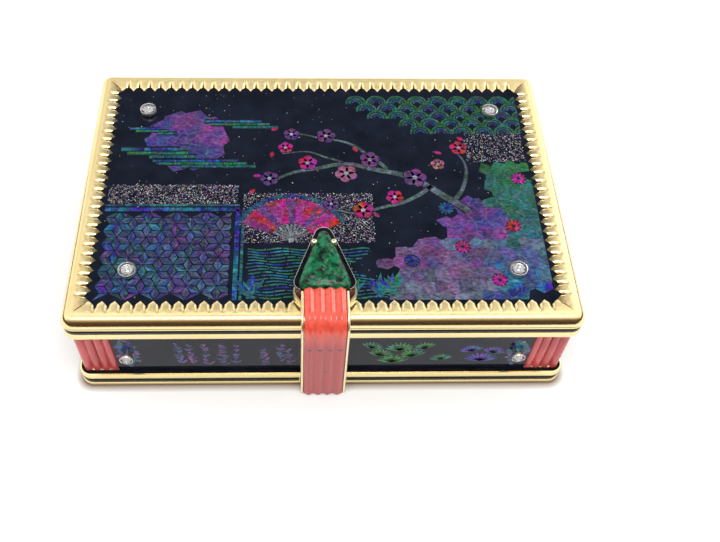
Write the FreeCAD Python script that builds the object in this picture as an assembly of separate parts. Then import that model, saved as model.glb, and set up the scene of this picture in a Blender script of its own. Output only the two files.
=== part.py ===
import FreeCAD, Part
import math
import os

os.makedirs("parts", exist_ok=True)

# A flat rectangular powder compact: a base slab with a rim, a body of lacquer panels with coral corners,
# a hinged lid with a toothed bezel, and a C-shaped clasp that draws straight out of the front.
# Millimetres.  +X runs along the width, +Y to the hinge at the back, +Z up.
# The origin is the centre of the case's bottom face.

# Case outline
case_width = 86.0
case_depth = 58.2
corner_radius = 2.2
running_gap = 0.1
seat_gap = 0.05
part_gap = 0.2

# Base
base_height = 3.9
base_ring_width = 2.4
base_bead_height = 1.3
base_line_height = 1.05
line_depth = 0.35
line_sink = 0.08
bottom_thickness = 0.6

# Body
body_inset = 1.0
body_height = 12.3
shell_wall = 0.6
shell_floor = 0.6
panel_thickness = 0.7
deck_thickness = 0.8
coral_face_width = 6.2
reed_radius = 0.8
reed_depth = 0.3
reeds_per_face = 4
strip_width = 7.9
strip_proud = 0.1

# Lid
lid_gap = 0.1
lid_rim_height = 3.4
lid_bead_height = 1.2
lid_line_height = 1.1
border_rise = 1.4
border_round = 1.3
border_width = 4.6
lid_wall = 2.6
tooth_depth = 1.15
tooth_pitch = 2.05
tooth_thickness = 0.55
lid_panel_thickness = 1.0
backing_thickness = 0.5
mirror_thickness = 1.2
mirror_lip_thickness = 0.65
mirror_lip_width = 2.6
mirror_hinge_lip_width = 6.4
mirror_seat_width = 0.9

# Hinge
hinge_radius = 0.8
hinge_drop = 1.0
hinge_length = 56.0
hinge_pin_radius = 0.35
hinge_pin_clearance = 0.04
knuckle_count = 7
leaf_height = 1.05

# Wells and puffs
well_between = 6.0
well_end_margin = 1.25
well_back_margin = 1.55
well_trough_margin = 0.9
well_wall = 0.4
well_foot = 0.5
cake_height = 3.5
puff_height = 2.9
puff_clearance = 0.5
tab_length = 5.6
tab_width = 3.6
tab_thickness = 0.3
tab_rise = 0.9
tab_shift = 6.5

# Lipstick and its trough
trough_length = 51.1
trough_side_gap = 0.9
trough_centre_x = 0.75
trough_front_margin = 2.2
trough_wall = 0.4
tube_under_gap = 1.2
tube_wall = 0.8
tube_end_gap = 1.4
tube_drop = 0.4
tube_tail = 1.8
tube_tail_length = 4.8
pivot_from_wall = 4.3
pivot_pin_radius = 0.75
pivot_clearance = 0.05
slot_width = 2.4
slot_length = 34.0
slot_from_pivot = 6.5
carrier_length = 6.0
carrier_from_pivot = 11.5
knob_proud = 0.4
bullet_gap = 0.8
bullet_length = 15.0
lift_spring_width = 5.0
lift_spring_length = 18.0
lift_spring_thickness = 0.25

# Clasp
arm_bearing_length = 9.1
clasp_gap = 0.35
clasp_lift = 0.25
strap_width = 7.9
strap_backing = 0.6
coral_width = 6.8
coral_thickness = 1.3
rail_height = 0.9
rail_setback = 0.3
strap_bend = 1.3
strap_foot = 0.35
arm_clearance = 0.1
arm_inside_length = 24.1
guide_wall = 0.8
guide_length = 23.7
stop_pin_radius = 0.5
stop_pin_setback = 7.1
detent_length = 10.0
detent_thickness = 0.15
detent_clearance = 0.3
pocket_depth = 0.6
head_reach = 18.05
head_front = 5.6
head_half_width = 5.15
head_corner_radius = 1.6
head_lip = 0.2
head_line_width = 0.7
head_line_height = 0.8
emerald_height = 2.3
prong_size = 0.75
prong_height = 0.5
prong_spacing = 2.9
prong_setback = 3.2
scroll_wire_radius = 0.3
scroll_length = 2.6

# Diamonds in round collets
lid_collet_radius = 1.55
lid_collet_height = 1.0
lid_stub_radius = 1.25
lid_gem_inset_x = 10.2
lid_gem_inset_y = 10.35
side_collet_radius = 1.2
side_collet_height = 1.4
side_stub_radius = 0.7
side_gem_inset = 9.4
collet_wall = 0.3
collet_cup_depth = 0.7
stone_crown = 0.3

# Levels and half sizes that follow from the sizes above
half_width = case_width / 2
half_depth = case_depth / 2
deck_top = base_height + body_height
deck_bottom = deck_top - deck_thickness
lid_bottom = deck_top + lid_gap
lid_rim_top = lid_bottom + lid_rim_height
lid_crown = lid_rim_top + border_rise
lacquer_top = lid_crown - tooth_thickness
lacquer_bottom = lacquer_top - lid_panel_thickness
backing_bottom = lacquer_bottom - backing_thickness
shell_inset = body_inset + panel_thickness + seat_gap
body_x = half_width - body_inset
body_y = half_depth - body_inset
shell_x = half_width - shell_inset
shell_y = half_depth - shell_inset
hinge_y = body_y + hinge_radius + 0.75 * part_gap
hinge_z = lid_bottom - hinge_drop
floor_top = base_height + shell_floor
clasp_travel = arm_inside_length - arm_bearing_length
trough_bottom = floor_top + running_gap
tube_radius = (deck_top - tube_drop - trough_bottom - trough_wall - tube_under_gap) / 2
tube_z = deck_top - tube_drop - tube_radius
tube_bore = tube_radius - tube_wall
bullet_radius = tube_bore - bullet_gap
trough_width = 2 * (tube_radius + trough_side_gap)
trough_y = -half_depth + body_inset + trough_front_margin + trough_width / 2
well_back_y = shell_y - well_back_margin
well_front_y = trough_y + trough_width / 2 + well_trough_margin
well_room_x = shell_x - well_end_margin - well_between / 2
well_radius = min(well_room_x, well_back_y - well_front_y) / 2
well_x = shell_x - well_end_margin - well_radius
well_y = well_back_y - well_radius
well_top = deck_bottom
well_bottom = floor_top + well_foot
cake_bottom = well_bottom + well_wall
cake_top = cake_bottom + cake_height
puff_bottom = cake_top + running_gap
puff_top = puff_bottom + puff_height
trough_left = trough_centre_x - trough_length / 2
trough_right = trough_left + trough_length
pivot_x = trough_left + pivot_from_wall
tube_mouth_x = trough_right - tube_end_gap
strap_face_y = -half_depth - clasp_gap
strap_under_z = lid_crown + clasp_lift
strap_outer_bend = strap_bend + strap_backing
head_back_y = strap_face_y + head_reach
head_front_y = strap_face_y + head_front + strap_backing
head_top_z = strap_under_z + strap_backing
arm_half_width = strap_width / 2 - arm_clearance
arm_bottom = bottom_thickness + arm_clearance
arm_slot_top = base_height - 0.5
arm_top = arm_slot_top - arm_clearance


def point(x, y, z):
    return FreeCAD.Vector(x, y, z)


def block(x0, x1, y0, y1, z0, z1):
    """Box between two corners."""
    return Part.makeBox(x1 - x0, y1 - y0, z1 - z0, point(x0, y0, z0))


def rounded_block(half_x, half_y, radius, z0, z1):
    """Slab centred on the Z axis with its upright edges rounded."""
    slab = block(-half_x, half_x, -half_y, half_y, z0, z1)
    upright = [edge for edge in slab.Edges if abs(edge.tangentAt(edge.FirstParameter).z) > 0.99]
    return slab.makeFillet(radius, upright)


def case_slab(inset, z0, z1):
    """Slab with the case's outline, drawn in from the rim by inset all round."""
    radius = max(corner_radius - inset, 0.4)
    return rounded_block(half_width - inset, half_depth - inset, radius, z0, z1)


def edges_at(shape, z, inset=0.0):
    """Edges that lie flat at a level, near the outline drawn in by inset."""
    chosen = []
    for edge in shape.Edges:
        box = edge.BoundBox
        flat = abs(box.ZMin - z) < 1e-4 and abs(box.ZMax - z) < 1e-4
        far_x = max(abs(box.XMin), abs(box.XMax)) > half_width - inset - corner_radius - 0.01
        far_y = max(abs(box.YMin), abs(box.YMax)) > half_depth - inset - corner_radius - 0.01
        if flat and (far_x or far_y):
            chosen.append(edge)
    return chosen


def prism(points, direction):
    """Closed outline through the points, carried along a direction."""
    outline = Part.makePolygon(points + points[:1])
    return Part.Face(outline).extrude(direction)


def rod(radius, foot, outward, start, end):
    """Round bar between two distances from foot along outward."""
    return Part.makeCylinder(radius, end - start, foot + outward * start, outward)


def fused(shapes):
    """One solid from several that meet."""
    return shapes[0].multiFuse(shapes[1:]).removeSplitter()


# ---- base -------------------------------------------------------------------------------------------

def line_ring(z0, z1, outer):
    """Band that lies in the groove round a rim."""
    return case_slab(outer, z0, z1).cut(case_slab(line_depth, z0, z1))


def arm_slot(extra=0.0):
    """Way through the front of the base for the clasp's arm."""
    half = strap_width / 2 + extra
    front = -half_depth - 1
    return block(-half, half, front, front + base_ring_width + 2, bottom_thickness, arm_slot_top)


def base_rim():
    """Gold ring round the foot: two beads with a groove for the black line, and the clasp's slot."""
    ring = case_slab(0, 0, base_height)
    ring = ring.makeFillet(0.3, edges_at(ring, 0) + edges_at(ring, base_height))
    ring = ring.cut(case_slab(base_ring_width, 0, base_height))
    groove = line_ring(base_bead_height, base_bead_height + base_line_height, 0)
    return ring.cut(groove).cut(arm_slot())


def base_line():
    """Black enamel band in the base's groove, parted where the clasp comes through."""
    band = line_ring(base_bead_height, base_bead_height + base_line_height, line_sink)
    return band.cut(arm_slot(extra=0.3))


def bottom_plate():
    """Flat plate that closes the base inside its ring."""
    return case_slab(base_ring_width + seat_gap, 0, bottom_thickness)


def arm_guide():
    """Channel that the clasp's arm slides in, with a side pocket for the detent spring."""
    front = -half_depth + base_ring_width + seat_gap
    back = front + guide_length
    half = strap_width / 2
    outer = block(-half - guide_wall, half + guide_wall, front, back, bottom_thickness, base_height)
    channel = block(-half, half, front, back, bottom_thickness, arm_slot_top)
    middle = (front + back) / 2
    reach = detent_length / 2 + detent_clearance
    pocket = block(-half - pocket_depth, -half, middle - reach, middle + reach, arm_bottom, arm_top)
    return outer.cut(channel).cut(pocket)


def clasp_stop_pin():
    """Upright pin in the slot of the clasp's arm, which ends its travel both ways."""
    foot = point(0, -half_depth + stop_pin_setback, bottom_thickness)
    return Part.makeCylinder(stop_pin_radius, arm_slot_top - bottom_thickness, foot)


def detent_spring():
    """Bowed leaf in the guide's side pocket, which bears on the arm."""
    middle = -half_depth + base_ring_width + seat_gap + guide_length / 2
    outer_x = -strap_width / 2 - pocket_depth
    bow_x = -arm_half_width - 0.5 * arm_clearance - detent_thickness
    ends = detent_length / 2
    flat = detent_length / 8
    low = [(outer_x, -ends), (bow_x, -flat), (bow_x, flat), (outer_x, ends)]
    high = [(x + detent_thickness, y) for x, y in reversed(low)]
    outline = [point(x, middle + y, arm_bottom + detent_clearance) for x, y in low + high]
    return prism(outline, point(0, 0, arm_top - arm_bottom - 2 * detent_clearance))


# ---- body -------------------------------------------------------------------------------------------

def body_shell():
    """Gold box behind the panels, open at the top."""
    outer = rounded_block(shell_x, shell_y, 0.4, base_height, deck_bottom)
    floor = base_height + shell_floor
    return outer.cut(rounded_block(shell_x - shell_wall, shell_y - shell_wall, 0.3, floor, deck_bottom))


def side_panel(half_length, z_top):
    """Lacquer slab for a short side, standing off the shell on the +X side."""
    return block(shell_x, body_x, -half_length, half_length, base_height, z_top)


def panel_end_x():
    return body_x - coral_face_width - seat_gap


def panel_end_y():
    return body_y - coral_face_width - seat_gap


def front_panel(side):
    """Lacquer slab on the front, left (-1) or right (+1) of the clasp's strip."""
    near = strip_width / 2 + seat_gap
    x0, x1 = sorted([side * near, side * panel_end_x()])
    return block(x0, x1, -body_y, -shell_y, base_height, deck_bottom)


def back_panel():
    """Lacquer slab on the back, under the hinge leaf."""
    end = panel_end_x()
    return block(-end, end, shell_y, body_y, base_height, deck_bottom - leaf_height - seat_gap)


def end_panel(side):
    """Lacquer slab on the left (-1) or right (+1) end."""
    x0, x1 = sorted([side * shell_x, side * body_x])
    end = panel_end_y()
    return block(x0, x1, -end, end, base_height, deck_bottom)


def front_strip():
    """Gold strip on the front, behind the clasp."""
    half = strip_width / 2
    return block(-half, half, -body_y - strip_proud, -shell_y, base_height, deck_bottom)


def upright_bar(radius, x, y):
    """Round bar from the base to the deck."""
    return Part.makeCylinder(radius, deck_bottom - base_height, point(x, y, base_height))


def coral_corner(side_x, side_y):
    """Reeded coral angle that wraps one upright corner of the body."""
    pitch = (coral_face_width - 2 * reed_radius) / (reeds_per_face - 1)
    back_x = body_x - coral_face_width
    back_y = body_y - coral_face_width
    line_x = body_x - reed_radius
    line_y = body_y - reed_radius
    web = block(back_x, body_x - reed_depth, back_y, body_y - reed_depth, base_height, deck_bottom)
    bars = [web]
    for i in range(reeds_per_face):
        bars.append(upright_bar(reed_radius, line_x - i * pitch, line_y))
        if i > 0:
            bars.append(upright_bar(reed_radius, line_x, line_y - i * pitch))
    angle = fused(bars)
    inside = block(0, shell_x, 0, shell_y, 0, deck_top)
    angle = angle.cut(inside)
    if side_x < 0:
        angle = angle.mirror(point(0, 0, 0), point(1, 0, 0))
    if side_y < 0:
        angle = angle.mirror(point(0, 0, 0), point(0, 1, 0))
    return angle


def side_gem_places():
    """Foot and outward direction of each diamond on the body's sides."""
    z = (base_height + deck_bottom) / 2
    x = half_width - side_gem_inset
    y = half_depth - side_gem_inset
    places = []
    for side in (-1, 1):
        places.append((point(side * x, -body_y, z), point(0, -1, 0)))
        places.append((point(side * body_x, -y, z), point(side, 0, 0)))
        places.append((point(side * body_x, y, z), point(side, 0, 0)))
        places.append((point(side * x, body_y, z), point(0, 1, 0)))
    return places


def lid_gem_places():
    """Foot and outward direction of each diamond on the lid."""
    x = half_width - lid_gem_inset_x
    y = half_depth - lid_gem_inset_y
    return [(point(i * x, j * y, lacquer_top), point(0, 0, 1)) for i in (-1, 1) for j in (-1, 1)]


def collet(foot, outward, radius, height, stub_radius):
    """Round cup on a stub."""
    neck = height - collet_cup_depth - collet_wall
    cup_floor = height - collet_cup_depth
    cup = rod(radius, foot, outward, neck, height)
    hollow = rod(radius - collet_wall, foot, outward, cup_floor, height)
    stub = rod(stub_radius, foot, outward, 0, cup_floor)
    return cup.fuse(stub).cut(hollow).removeSplitter()


def stone(foot, outward, radius, height):
    """Round brilliant: a pavilion cone in the cup and a low crown above its rim."""
    girdle = foot + outward * (height - collet_wall)
    size = radius - collet_wall - 0.02
    depth = collet_cup_depth - collet_wall - 0.05
    crown = Part.makeCone(size, 0.6 * size, collet_wall + stone_crown, girdle, outward)
    pavilion = Part.makeCone(0.15 * size, size, depth, girdle - outward * depth, outward)
    return crown.fuse(pavilion).removeSplitter()


def side_collets():
    return Part.makeCompound([collet(foot, outward, side_collet_radius, side_collet_height, side_stub_radius)
                              for foot, outward in side_gem_places()])


def side_diamonds():
    return Part.makeCompound([stone(foot, outward, side_collet_radius, side_collet_height)
                              for foot, outward in side_gem_places()])


def lid_collets():
    return Part.makeCompound([collet(foot, outward, lid_collet_radius, lid_collet_height, lid_stub_radius)
                              for foot, outward in lid_gem_places()])


def lid_diamonds():
    return Part.makeCompound([stone(foot, outward, lid_collet_radius, lid_collet_height)
                              for foot, outward in lid_gem_places()])


# ---- deck, wells and puffs --------------------------------------------------------------------------

def well_centre(side):
    return point(side * well_x, well_y, 0)


def deck_plate():
    """Gold plate over the body, with two round wells and the lipstick's trough."""
    plate = case_slab(body_inset, deck_bottom, deck_top)
    for side in (-1, 1):
        centre = well_centre(side)
        centre.z = deck_bottom
        plate = plate.cut(Part.makeCylinder(well_radius, deck_thickness, centre))
    opening = block(trough_left, trough_right, trough_y - trough_width / 2, trough_y + trough_width / 2,
                    deck_bottom, deck_top)
    return plate.cut(opening)


def well_cup(side):
    """Round gold pan that hangs under the deck."""
    low = well_centre(side)
    low.z = well_bottom
    inside = well_centre(side)
    inside.z = cake_bottom
    cup = Part.makeCylinder(well_radius + well_wall, well_top - well_bottom, low)
    return cup.cut(Part.makeCylinder(well_radius, well_top - cake_bottom, inside))


def powder_cake(side):
    """Pressed powder in the bottom of a well."""
    foot = well_centre(side)
    foot.z = cake_bottom
    return Part.makeCylinder(well_radius - seat_gap, cake_height, foot)


def puff(side):
    """Round soft puff that lies on the powder."""
    foot = well_centre(side)
    foot.z = puff_bottom
    pad = Part.makeCylinder(well_radius - puff_clearance, puff_height, foot)
    return pad.makeFillet(0.7, pad.Edges[0:1] + pad.Edges[2:3])


def puff_tab(side):
    """Folded ribbon tab on a puff: a flat tail and a flap that stands off it."""
    x = well_centre(side).x - tab_shift
    y = well_y + tab_shift - tab_width / 2
    t = tab_thickness
    outline = [(0, 0), (tab_length, 0), (tab_length, t), (2 * t, t), (tab_length, tab_rise),
               (tab_length, tab_rise + t), (0, 2 * t)]
    return prism([point(x + i, y, puff_top + k) for i, k in outline], point(0, tab_width, 0))


# ---- lipstick ---------------------------------------------------------------------------------------

def trough_box(grow, z0, z1):
    half = trough_width / 2 + grow
    return block(trough_left - grow, trough_right + grow, trough_y - half, trough_y + half, z0, z1)


def lipstick_trough():
    """Open box under the deck that the lipstick lies in."""
    tray = trough_box(trough_wall, trough_bottom, deck_bottom)
    tray = tray.cut(trough_box(0, trough_bottom + trough_wall, deck_bottom))
    return tray.cut(pivot_bar(0.0, 1.0))


def pivot_bar(clearance, extra):
    """Round bar on the lipstick's pivot axis, across the trough."""
    half = trough_width / 2 + extra
    foot = point(pivot_x, trough_y - half, tube_z)
    return Part.makeCylinder(pivot_pin_radius + clearance, 2 * half, foot, point(0, 1, 0))


def lipstick_pin():
    return pivot_bar(0.0, trough_wall)


def lift_spring():
    """Bent leaf on the trough's floor that raises the lipstick when the lid leaves it."""
    x = pivot_x + tube_tail_length
    z = trough_bottom + trough_wall
    rise = tube_z - tube_radius - z - lift_spring_thickness - part_gap
    low = [(0, 0), (lift_spring_length / 4, 0), (lift_spring_length, rise)]
    high = [(i, k + lift_spring_thickness) for i, k in reversed(low)]
    outline = [point(x + i, trough_y - lift_spring_width / 2, z + k) for i, k in low + high]
    return prism(outline, point(0, lift_spring_width, 0))


def along_tube(radius, x0, x1):
    return Part.makeCylinder(radius, x1 - x0, point(x0, trough_y, tube_z), point(1, 0, 0))


def lipstick_tube():
    """Gold tube, solid at the pivot, with a slot along its front for the slider's knob."""
    tube = along_tube(tube_radius, pivot_x - tube_tail, tube_mouth_x)
    tube = tube.makeFillet(0.35, [edge for edge in tube.Edges if edge.Length < 7 * tube_radius])
    bore = along_tube(tube_bore, pivot_x - tube_tail + tube_tail_length, tube_mouth_x)
    slot_start = pivot_x + slot_from_pivot
    slot = block(slot_start, slot_start + slot_length, trough_y - tube_radius - 1, trough_y,
                 tube_z - slot_width / 2, tube_z + slot_width / 2)
    return tube.cut(bore).cut(slot).cut(pivot_bar(pivot_clearance, 1.0))


def lipstick_carrier():
    """Slider inside the tube with a knob that stands out of the slot."""
    x0 = pivot_x + carrier_from_pivot
    plug = along_tube(tube_bore - running_gap, x0, x0 + carrier_length)
    seat = along_tube(bullet_radius, x0 + carrier_length / 2, x0 + carrier_length)
    half = slot_width / 2 - running_gap
    knob = block(x0 + 1, x0 + carrier_length - 1, trough_y - tube_radius - knob_proud,
                 trough_y - bullet_radius - 0.2, tube_z - half, tube_z + half)
    return plug.cut(seat).fuse(knob).removeSplitter()


def lipstick_bullet():
    """Lipstick with a slanted tip, seated in the carrier."""
    x0 = pivot_x + carrier_from_pivot + carrier_length / 2
    x1 = x0 + bullet_length
    stick = along_tube(bullet_radius, x0, x1)
    side_y = trough_y - 2 * bullet_radius
    above = tube_z + bullet_radius + 1
    tip = [point(x1 - 1.6 * bullet_radius, side_y, above), point(x1 + 1, side_y, above),
           point(x1 + 1, side_y, tube_z - 0.5 * bullet_radius)]
    return stick.cut(prism(tip, point(0, 4 * bullet_radius, 0)))


# ---- hinge ------------------------------------------------------------------------------------------

def knuckles(first):
    """Start and length of every other knuckle, with half a running gap off each end."""
    pitch = hinge_length / knuckle_count
    start = -hinge_length / 2
    ends = [(start + i * pitch, start + (i + 1) * pitch) for i in range(first, knuckle_count, 2)]
    return [(x0 + running_gap / 2, x1 - running_gap / 2) for x0, x1 in ends]


def hinge_bar(radius, x0, x1):
    return Part.makeCylinder(radius, x1 - x0, point(x0, hinge_y, hinge_z), point(1, 0, 0))


def hinge_case_leaf():
    """Leaf under the deck's back edge with the case's knuckles."""
    end = panel_end_x()
    parts = [block(-end, end, shell_y, body_y, deck_bottom - leaf_height, deck_bottom)]
    for x0, x1 in knuckles(0):
        parts.append(hinge_bar(hinge_radius, x0, x1))
        parts.append(block(x0, x1, body_y - 0.2, hinge_y, hinge_z - hinge_radius, hinge_z))
    bore = hinge_bar(hinge_pin_radius, -hinge_length / 2, hinge_length / 2)
    return fused(parts).cut(bore)


def hinge_lid_knuckles():
    """The lid's knuckles, each on a tongue that meets the lid's rim."""
    found = []
    for x0, x1 in knuckles(1):
        barrel = hinge_bar(hinge_radius, x0, x1)
        tongue = block(x0, x1, hinge_y - hinge_radius, half_depth, hinge_z, lid_bottom)
        bore = hinge_bar(hinge_pin_radius + hinge_pin_clearance, x0, x1)
        found.append(barrel.fuse(tongue).cut(bore).removeSplitter())
    return Part.makeCompound(found)


def hinge_pin():
    return hinge_bar(hinge_pin_radius, -hinge_length / 2, hinge_length / 2)


# ---- lid --------------------------------------------------------------------------------------------

def claw_outline(z):
    """Zigzag opening of the bezel: tips on an inner rectangle, valleys one tooth depth outside it."""
    tip_x = half_width - border_width
    tip_y = half_depth - border_width
    corners = [(-tip_x, -tip_y), (tip_x, -tip_y), (tip_x, tip_y), (-tip_x, tip_y)]
    points = []
    for i, (x, y) in enumerate(corners):
        next_x, next_y = corners[(i + 1) % 4]
        length = math.hypot(next_x - x, next_y - y)
        count = max(int(round(length / tooth_pitch)), 2)
        along = ((next_x - x) / length, (next_y - y) / length)
        outward = (along[1], -along[0])
        corner = tooth_depth * 0.8
        points.append(point(x + math.copysign(corner, x), y + math.copysign(corner, y), z))
        for k in range(2 * count - 1):
            step = (k + 1) * length / (2 * count)
            out = 0 if k % 2 == 0 else tooth_depth
            points.append(point(x + along[0] * step + outward[0] * out,
                                y + along[1] * step + outward[1] * out, z))
    return points


def lid_frame():
    """Gold lid: toothed bezel over the lacquer, rounded border, and a rim with the black line's groove."""
    frame = case_slab(0, lid_bottom, lid_crown)
    frame = frame.makeFillet(border_round, edges_at(frame, lid_crown))
    frame = frame.cut(case_slab(lid_wall, lid_bottom, lacquer_top))
    groove = lid_bottom + lid_bead_height
    frame = frame.cut(line_ring(groove, groove + lid_line_height, 0))
    return frame.cut(prism(claw_outline(lacquer_top), point(0, 0, tooth_thickness)))


def lid_line():
    """Black enamel band in the lid's groove."""
    groove = lid_bottom + lid_bead_height
    return line_ring(groove, groove + lid_line_height, line_sink)


def lid_lacquer():
    """Inlaid lacquer plate held up under the teeth."""
    return case_slab(lid_wall + seat_gap, lacquer_bottom, lacquer_top)


def lid_backing():
    """Thin gold plate behind the lacquer."""
    return case_slab(lid_wall + seat_gap, backing_bottom, lacquer_bottom)


def mirror_outline(grow, z0, z1):
    """Mirror's rectangle, or one larger by grow: its hinge side stands further in than the rest."""
    x = half_width - lid_wall - mirror_lip_width + grow
    front = -half_depth + lid_wall + mirror_lip_width - grow
    back = half_depth - lid_wall - mirror_hinge_lip_width + grow
    return block(-x, x, front, back, z0, z1)


def mirror_frame():
    """Gold frame inside the lid: a lip in front of the mirror and a wider one on the hinge side."""
    lip_bottom = lid_bottom + seat_gap
    frame = case_slab(lid_wall + seat_gap, lip_bottom, backing_bottom)
    frame = frame.cut(mirror_outline(0, lip_bottom, backing_bottom))
    return frame.cut(mirror_outline(mirror_seat_width, lip_bottom + mirror_lip_thickness, backing_bottom))


def mirror():
    """Silvered glass behind the lip."""
    face = lid_bottom + seat_gap + mirror_lip_thickness
    return mirror_outline(mirror_seat_width - seat_gap, face, face + mirror_thickness)


def mirror_pad():
    """Card that packs the mirror against the backing plate."""
    face = lid_bottom + seat_gap + mirror_lip_thickness + mirror_thickness
    return mirror_outline(mirror_seat_width - seat_gap, face, backing_bottom)


# ---- clasp ------------------------------------------------------------------------------------------

def strap_layer(width, inner, outer, foot_z, end_y):
    """Layer of the strap, bent over the lid's edge between two distances from its inner face."""
    y0 = strap_face_y - outer
    z1 = strap_under_z + outer
    solid = block(-width / 2, width / 2, y0, end_y, foot_z, z1)
    corner = [edge for edge in solid.Edges if abs(edge.BoundBox.YMax - y0) < 1e-4
              and abs(edge.BoundBox.ZMin - z1) < 1e-4]
    solid = solid.makeFillet(strap_bend + outer, corner)
    y1 = strap_face_y - inner
    z0 = strap_under_z + inner
    hollow = block(-width, width, y1, end_y + 1, foot_z - 1, z0)
    edge = [e for e in hollow.Edges if abs(e.BoundBox.YMax - y1) < 1e-4 and abs(e.BoundBox.ZMin - z0) < 1e-4]
    return solid.cut(hollow.makeFillet(strap_bend + inner, edge))


def head_outline(inset, z, scale=1.0):
    """Rounded triangle of the clasp's head, drawn in by inset, with its broad side to the front."""
    radius = head_corner_radius - inset
    left = point(-(head_half_width - head_corner_radius), head_front_y + head_corner_radius, z)
    right = point(-left.x, left.y, z)
    apex = point(0, head_back_y - head_corner_radius, z)
    centre = (left + right + apex) * (1.0 / 3.0)
    corners = [left, right, apex]
    edges = []
    starts = []
    for i in range(3):
        here = corners[i]
        after = corners[(i + 1) % 3]
        along = (after - here).normalize()
        out = point(along.y, -along.x, 0)
        starts.append((here + out * radius, after + out * radius, out))
    for i in range(3):
        first, last, out = starts[i]
        after = corners[(i + 1) % 3]
        next_first = starts[(i + 1) % 3][0]
        next_out = starts[(i + 1) % 3][2]
        middle = after + (out + next_out).normalize() * radius
        edges.append(Part.LineSegment(first, last).toShape())
        edges.append(Part.Arc(last, middle, next_first).toShape())
    wire = Part.Wire(edges)
    if scale != 1.0:
        wire.scale(scale, centre)
        wire = Part.Wire(wire.Edges)
    return wire


def head_slab(inset, z0, z1):
    return Part.Face(head_outline(inset, z0)).extrude(point(0, 0, z1 - z0))


def clasp_bracket():
    """Gold bracket: arm in the base, strap up the front and over the lid, and the head's plate."""
    backing = strap_layer(strap_width, 0, strap_backing, strap_foot, head_front_y + 1)
    rail_top = strap_backing + rail_height
    rails = strap_layer(strap_width, strap_backing, rail_top, strap_foot, head_front_y - rail_setback)
    bed = strap_layer(coral_width + 2 * seat_gap, strap_backing, rail_top, strap_foot - 1, head_front_y + 1)
    rails = rails.cut(bed)
    arm = block(-arm_half_width, arm_half_width, strap_face_y - 0.5 * strap_backing,
                strap_face_y + arm_inside_length, arm_bottom, arm_top)
    slot_half = stop_pin_radius + running_gap
    slot_front = -half_depth + stop_pin_setback - slot_half
    slot_back = slot_front + clasp_travel + 2 * slot_half
    slot = block(-slot_half, slot_half, slot_front, slot_back, arm_bottom, arm_top)
    arm = arm.cut(slot).cut(arm_lines())
    plate = head_slab(0, strap_under_z, head_top_z)
    lip = head_slab(0, head_top_z, head_top_z + head_line_height)
    lip = lip.cut(head_slab(head_lip, head_top_z, head_top_z + head_line_height)).cut(head_mouth())
    return fused([backing, rails, arm, plate, lip])


def head_mouth():
    """Space at the head's front where the coral meets the emerald."""
    half = strap_width / 2
    back = head_front_y + head_lip + head_line_width + running_gap
    return block(-half, half, head_front_y - head_lip, back, head_top_z, head_top_z + head_line_height)


def arm_lines():
    """Black lines along both sides of the arm, in line with the base's."""
    z0 = base_bead_height
    z1 = z0 + base_line_height
    y0 = strap_face_y
    y1 = strap_face_y + clasp_travel
    left = block(-arm_half_width, -arm_half_width + line_depth, y0, y1, z0, z1)
    right = block(arm_half_width - line_depth, arm_half_width, y0, y1, z0, z1)
    return Part.makeCompound([left, right])


def coral_strap():
    """Reeded coral bar laid on the strap."""
    floor = strap_backing + seat_gap
    crest = strap_backing + coral_thickness
    bar = strap_layer(coral_width, floor, crest, strap_foot, head_front_y - seat_gap)
    pitch = coral_width / reeds_per_face
    depth = 0.16 * pitch
    for i in range(1, reeds_per_face):
        x = -coral_width / 2 + i * pitch
        valley = strap_layer(0.3 * pitch, crest - depth, crest + 1, strap_foot - 1, head_front_y + 1)
        valley.translate(point(x, 0, 0))
        bar = bar.cut(valley)
    return bar


def head_line():
    """Black enamel in the channel round the emerald, open at the front."""
    ring = head_slab(head_lip, head_top_z, head_top_z + head_line_height - line_sink)
    inner = head_slab(head_lip + head_line_width, head_top_z, head_top_z + head_line_height)
    return ring.cut(inner).cut(head_mouth())


def emerald():
    """Carved stone: a rounded triangle that narrows to its top."""
    inset = head_lip + head_line_width + seat_gap
    low = head_top_z
    top = low + emerald_height
    wall = Part.Face(head_outline(inset, low)).extrude(point(0, 0, 0.5 * emerald_height))
    middle = low + 0.5 * emerald_height
    shoulder = middle + 0.35 * emerald_height
    outlines = [head_outline(inset, middle)]
    outlines.append(head_outline(inset, shoulder, 0.88))
    outlines.append(head_outline(inset, top, 0.6))
    dome = Part.makeLoft(outlines, True, True)
    return wall.fuse(dome).removeSplitter()


def head_prongs():
    """Two square grains that hold the emerald near its tip."""
    y = head_back_y - prong_setback
    z0 = head_top_z + head_line_height
    z1 = z0 + emerald_height / 2 + prong_height
    half = prong_size / 2
    found = []
    for side in (-1, 1):
        x = side * prong_spacing / 2
        found.append(block(x - half, x + half, y - half, y + half, z0, z1).cut(emerald()))
    return Part.makeCompound(found)


def head_scrolls():
    """Two curled wires that join the head's front corners to the strap."""
    z = head_top_z + scroll_wire_radius - 0.1
    found = []
    for side in (-1, 1):
        start = point(side * (strap_width / 2 + scroll_wire_radius), head_front_y - scroll_length, z)
        bulge = point(side * (head_half_width - 0.2), head_front_y - 0.55 * scroll_length, z)
        end_x = side * (head_half_width - head_corner_radius + 0.9)
        end = point(end_x, head_front_y - scroll_wire_radius, z)
        path = Part.Wire([Part.Arc(start, bulge, end).toShape()])
        tangent = path.Edges[0].tangentAt(path.Edges[0].FirstParameter)
        profile = Part.Wire([Part.makeCircle(scroll_wire_radius, start, tangent)])
        found.append(path.makePipeShell([profile], True, False))
    return Part.makeCompound(found)


# ---- every piece, by node ---------------------------------------------------------------------------

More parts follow.
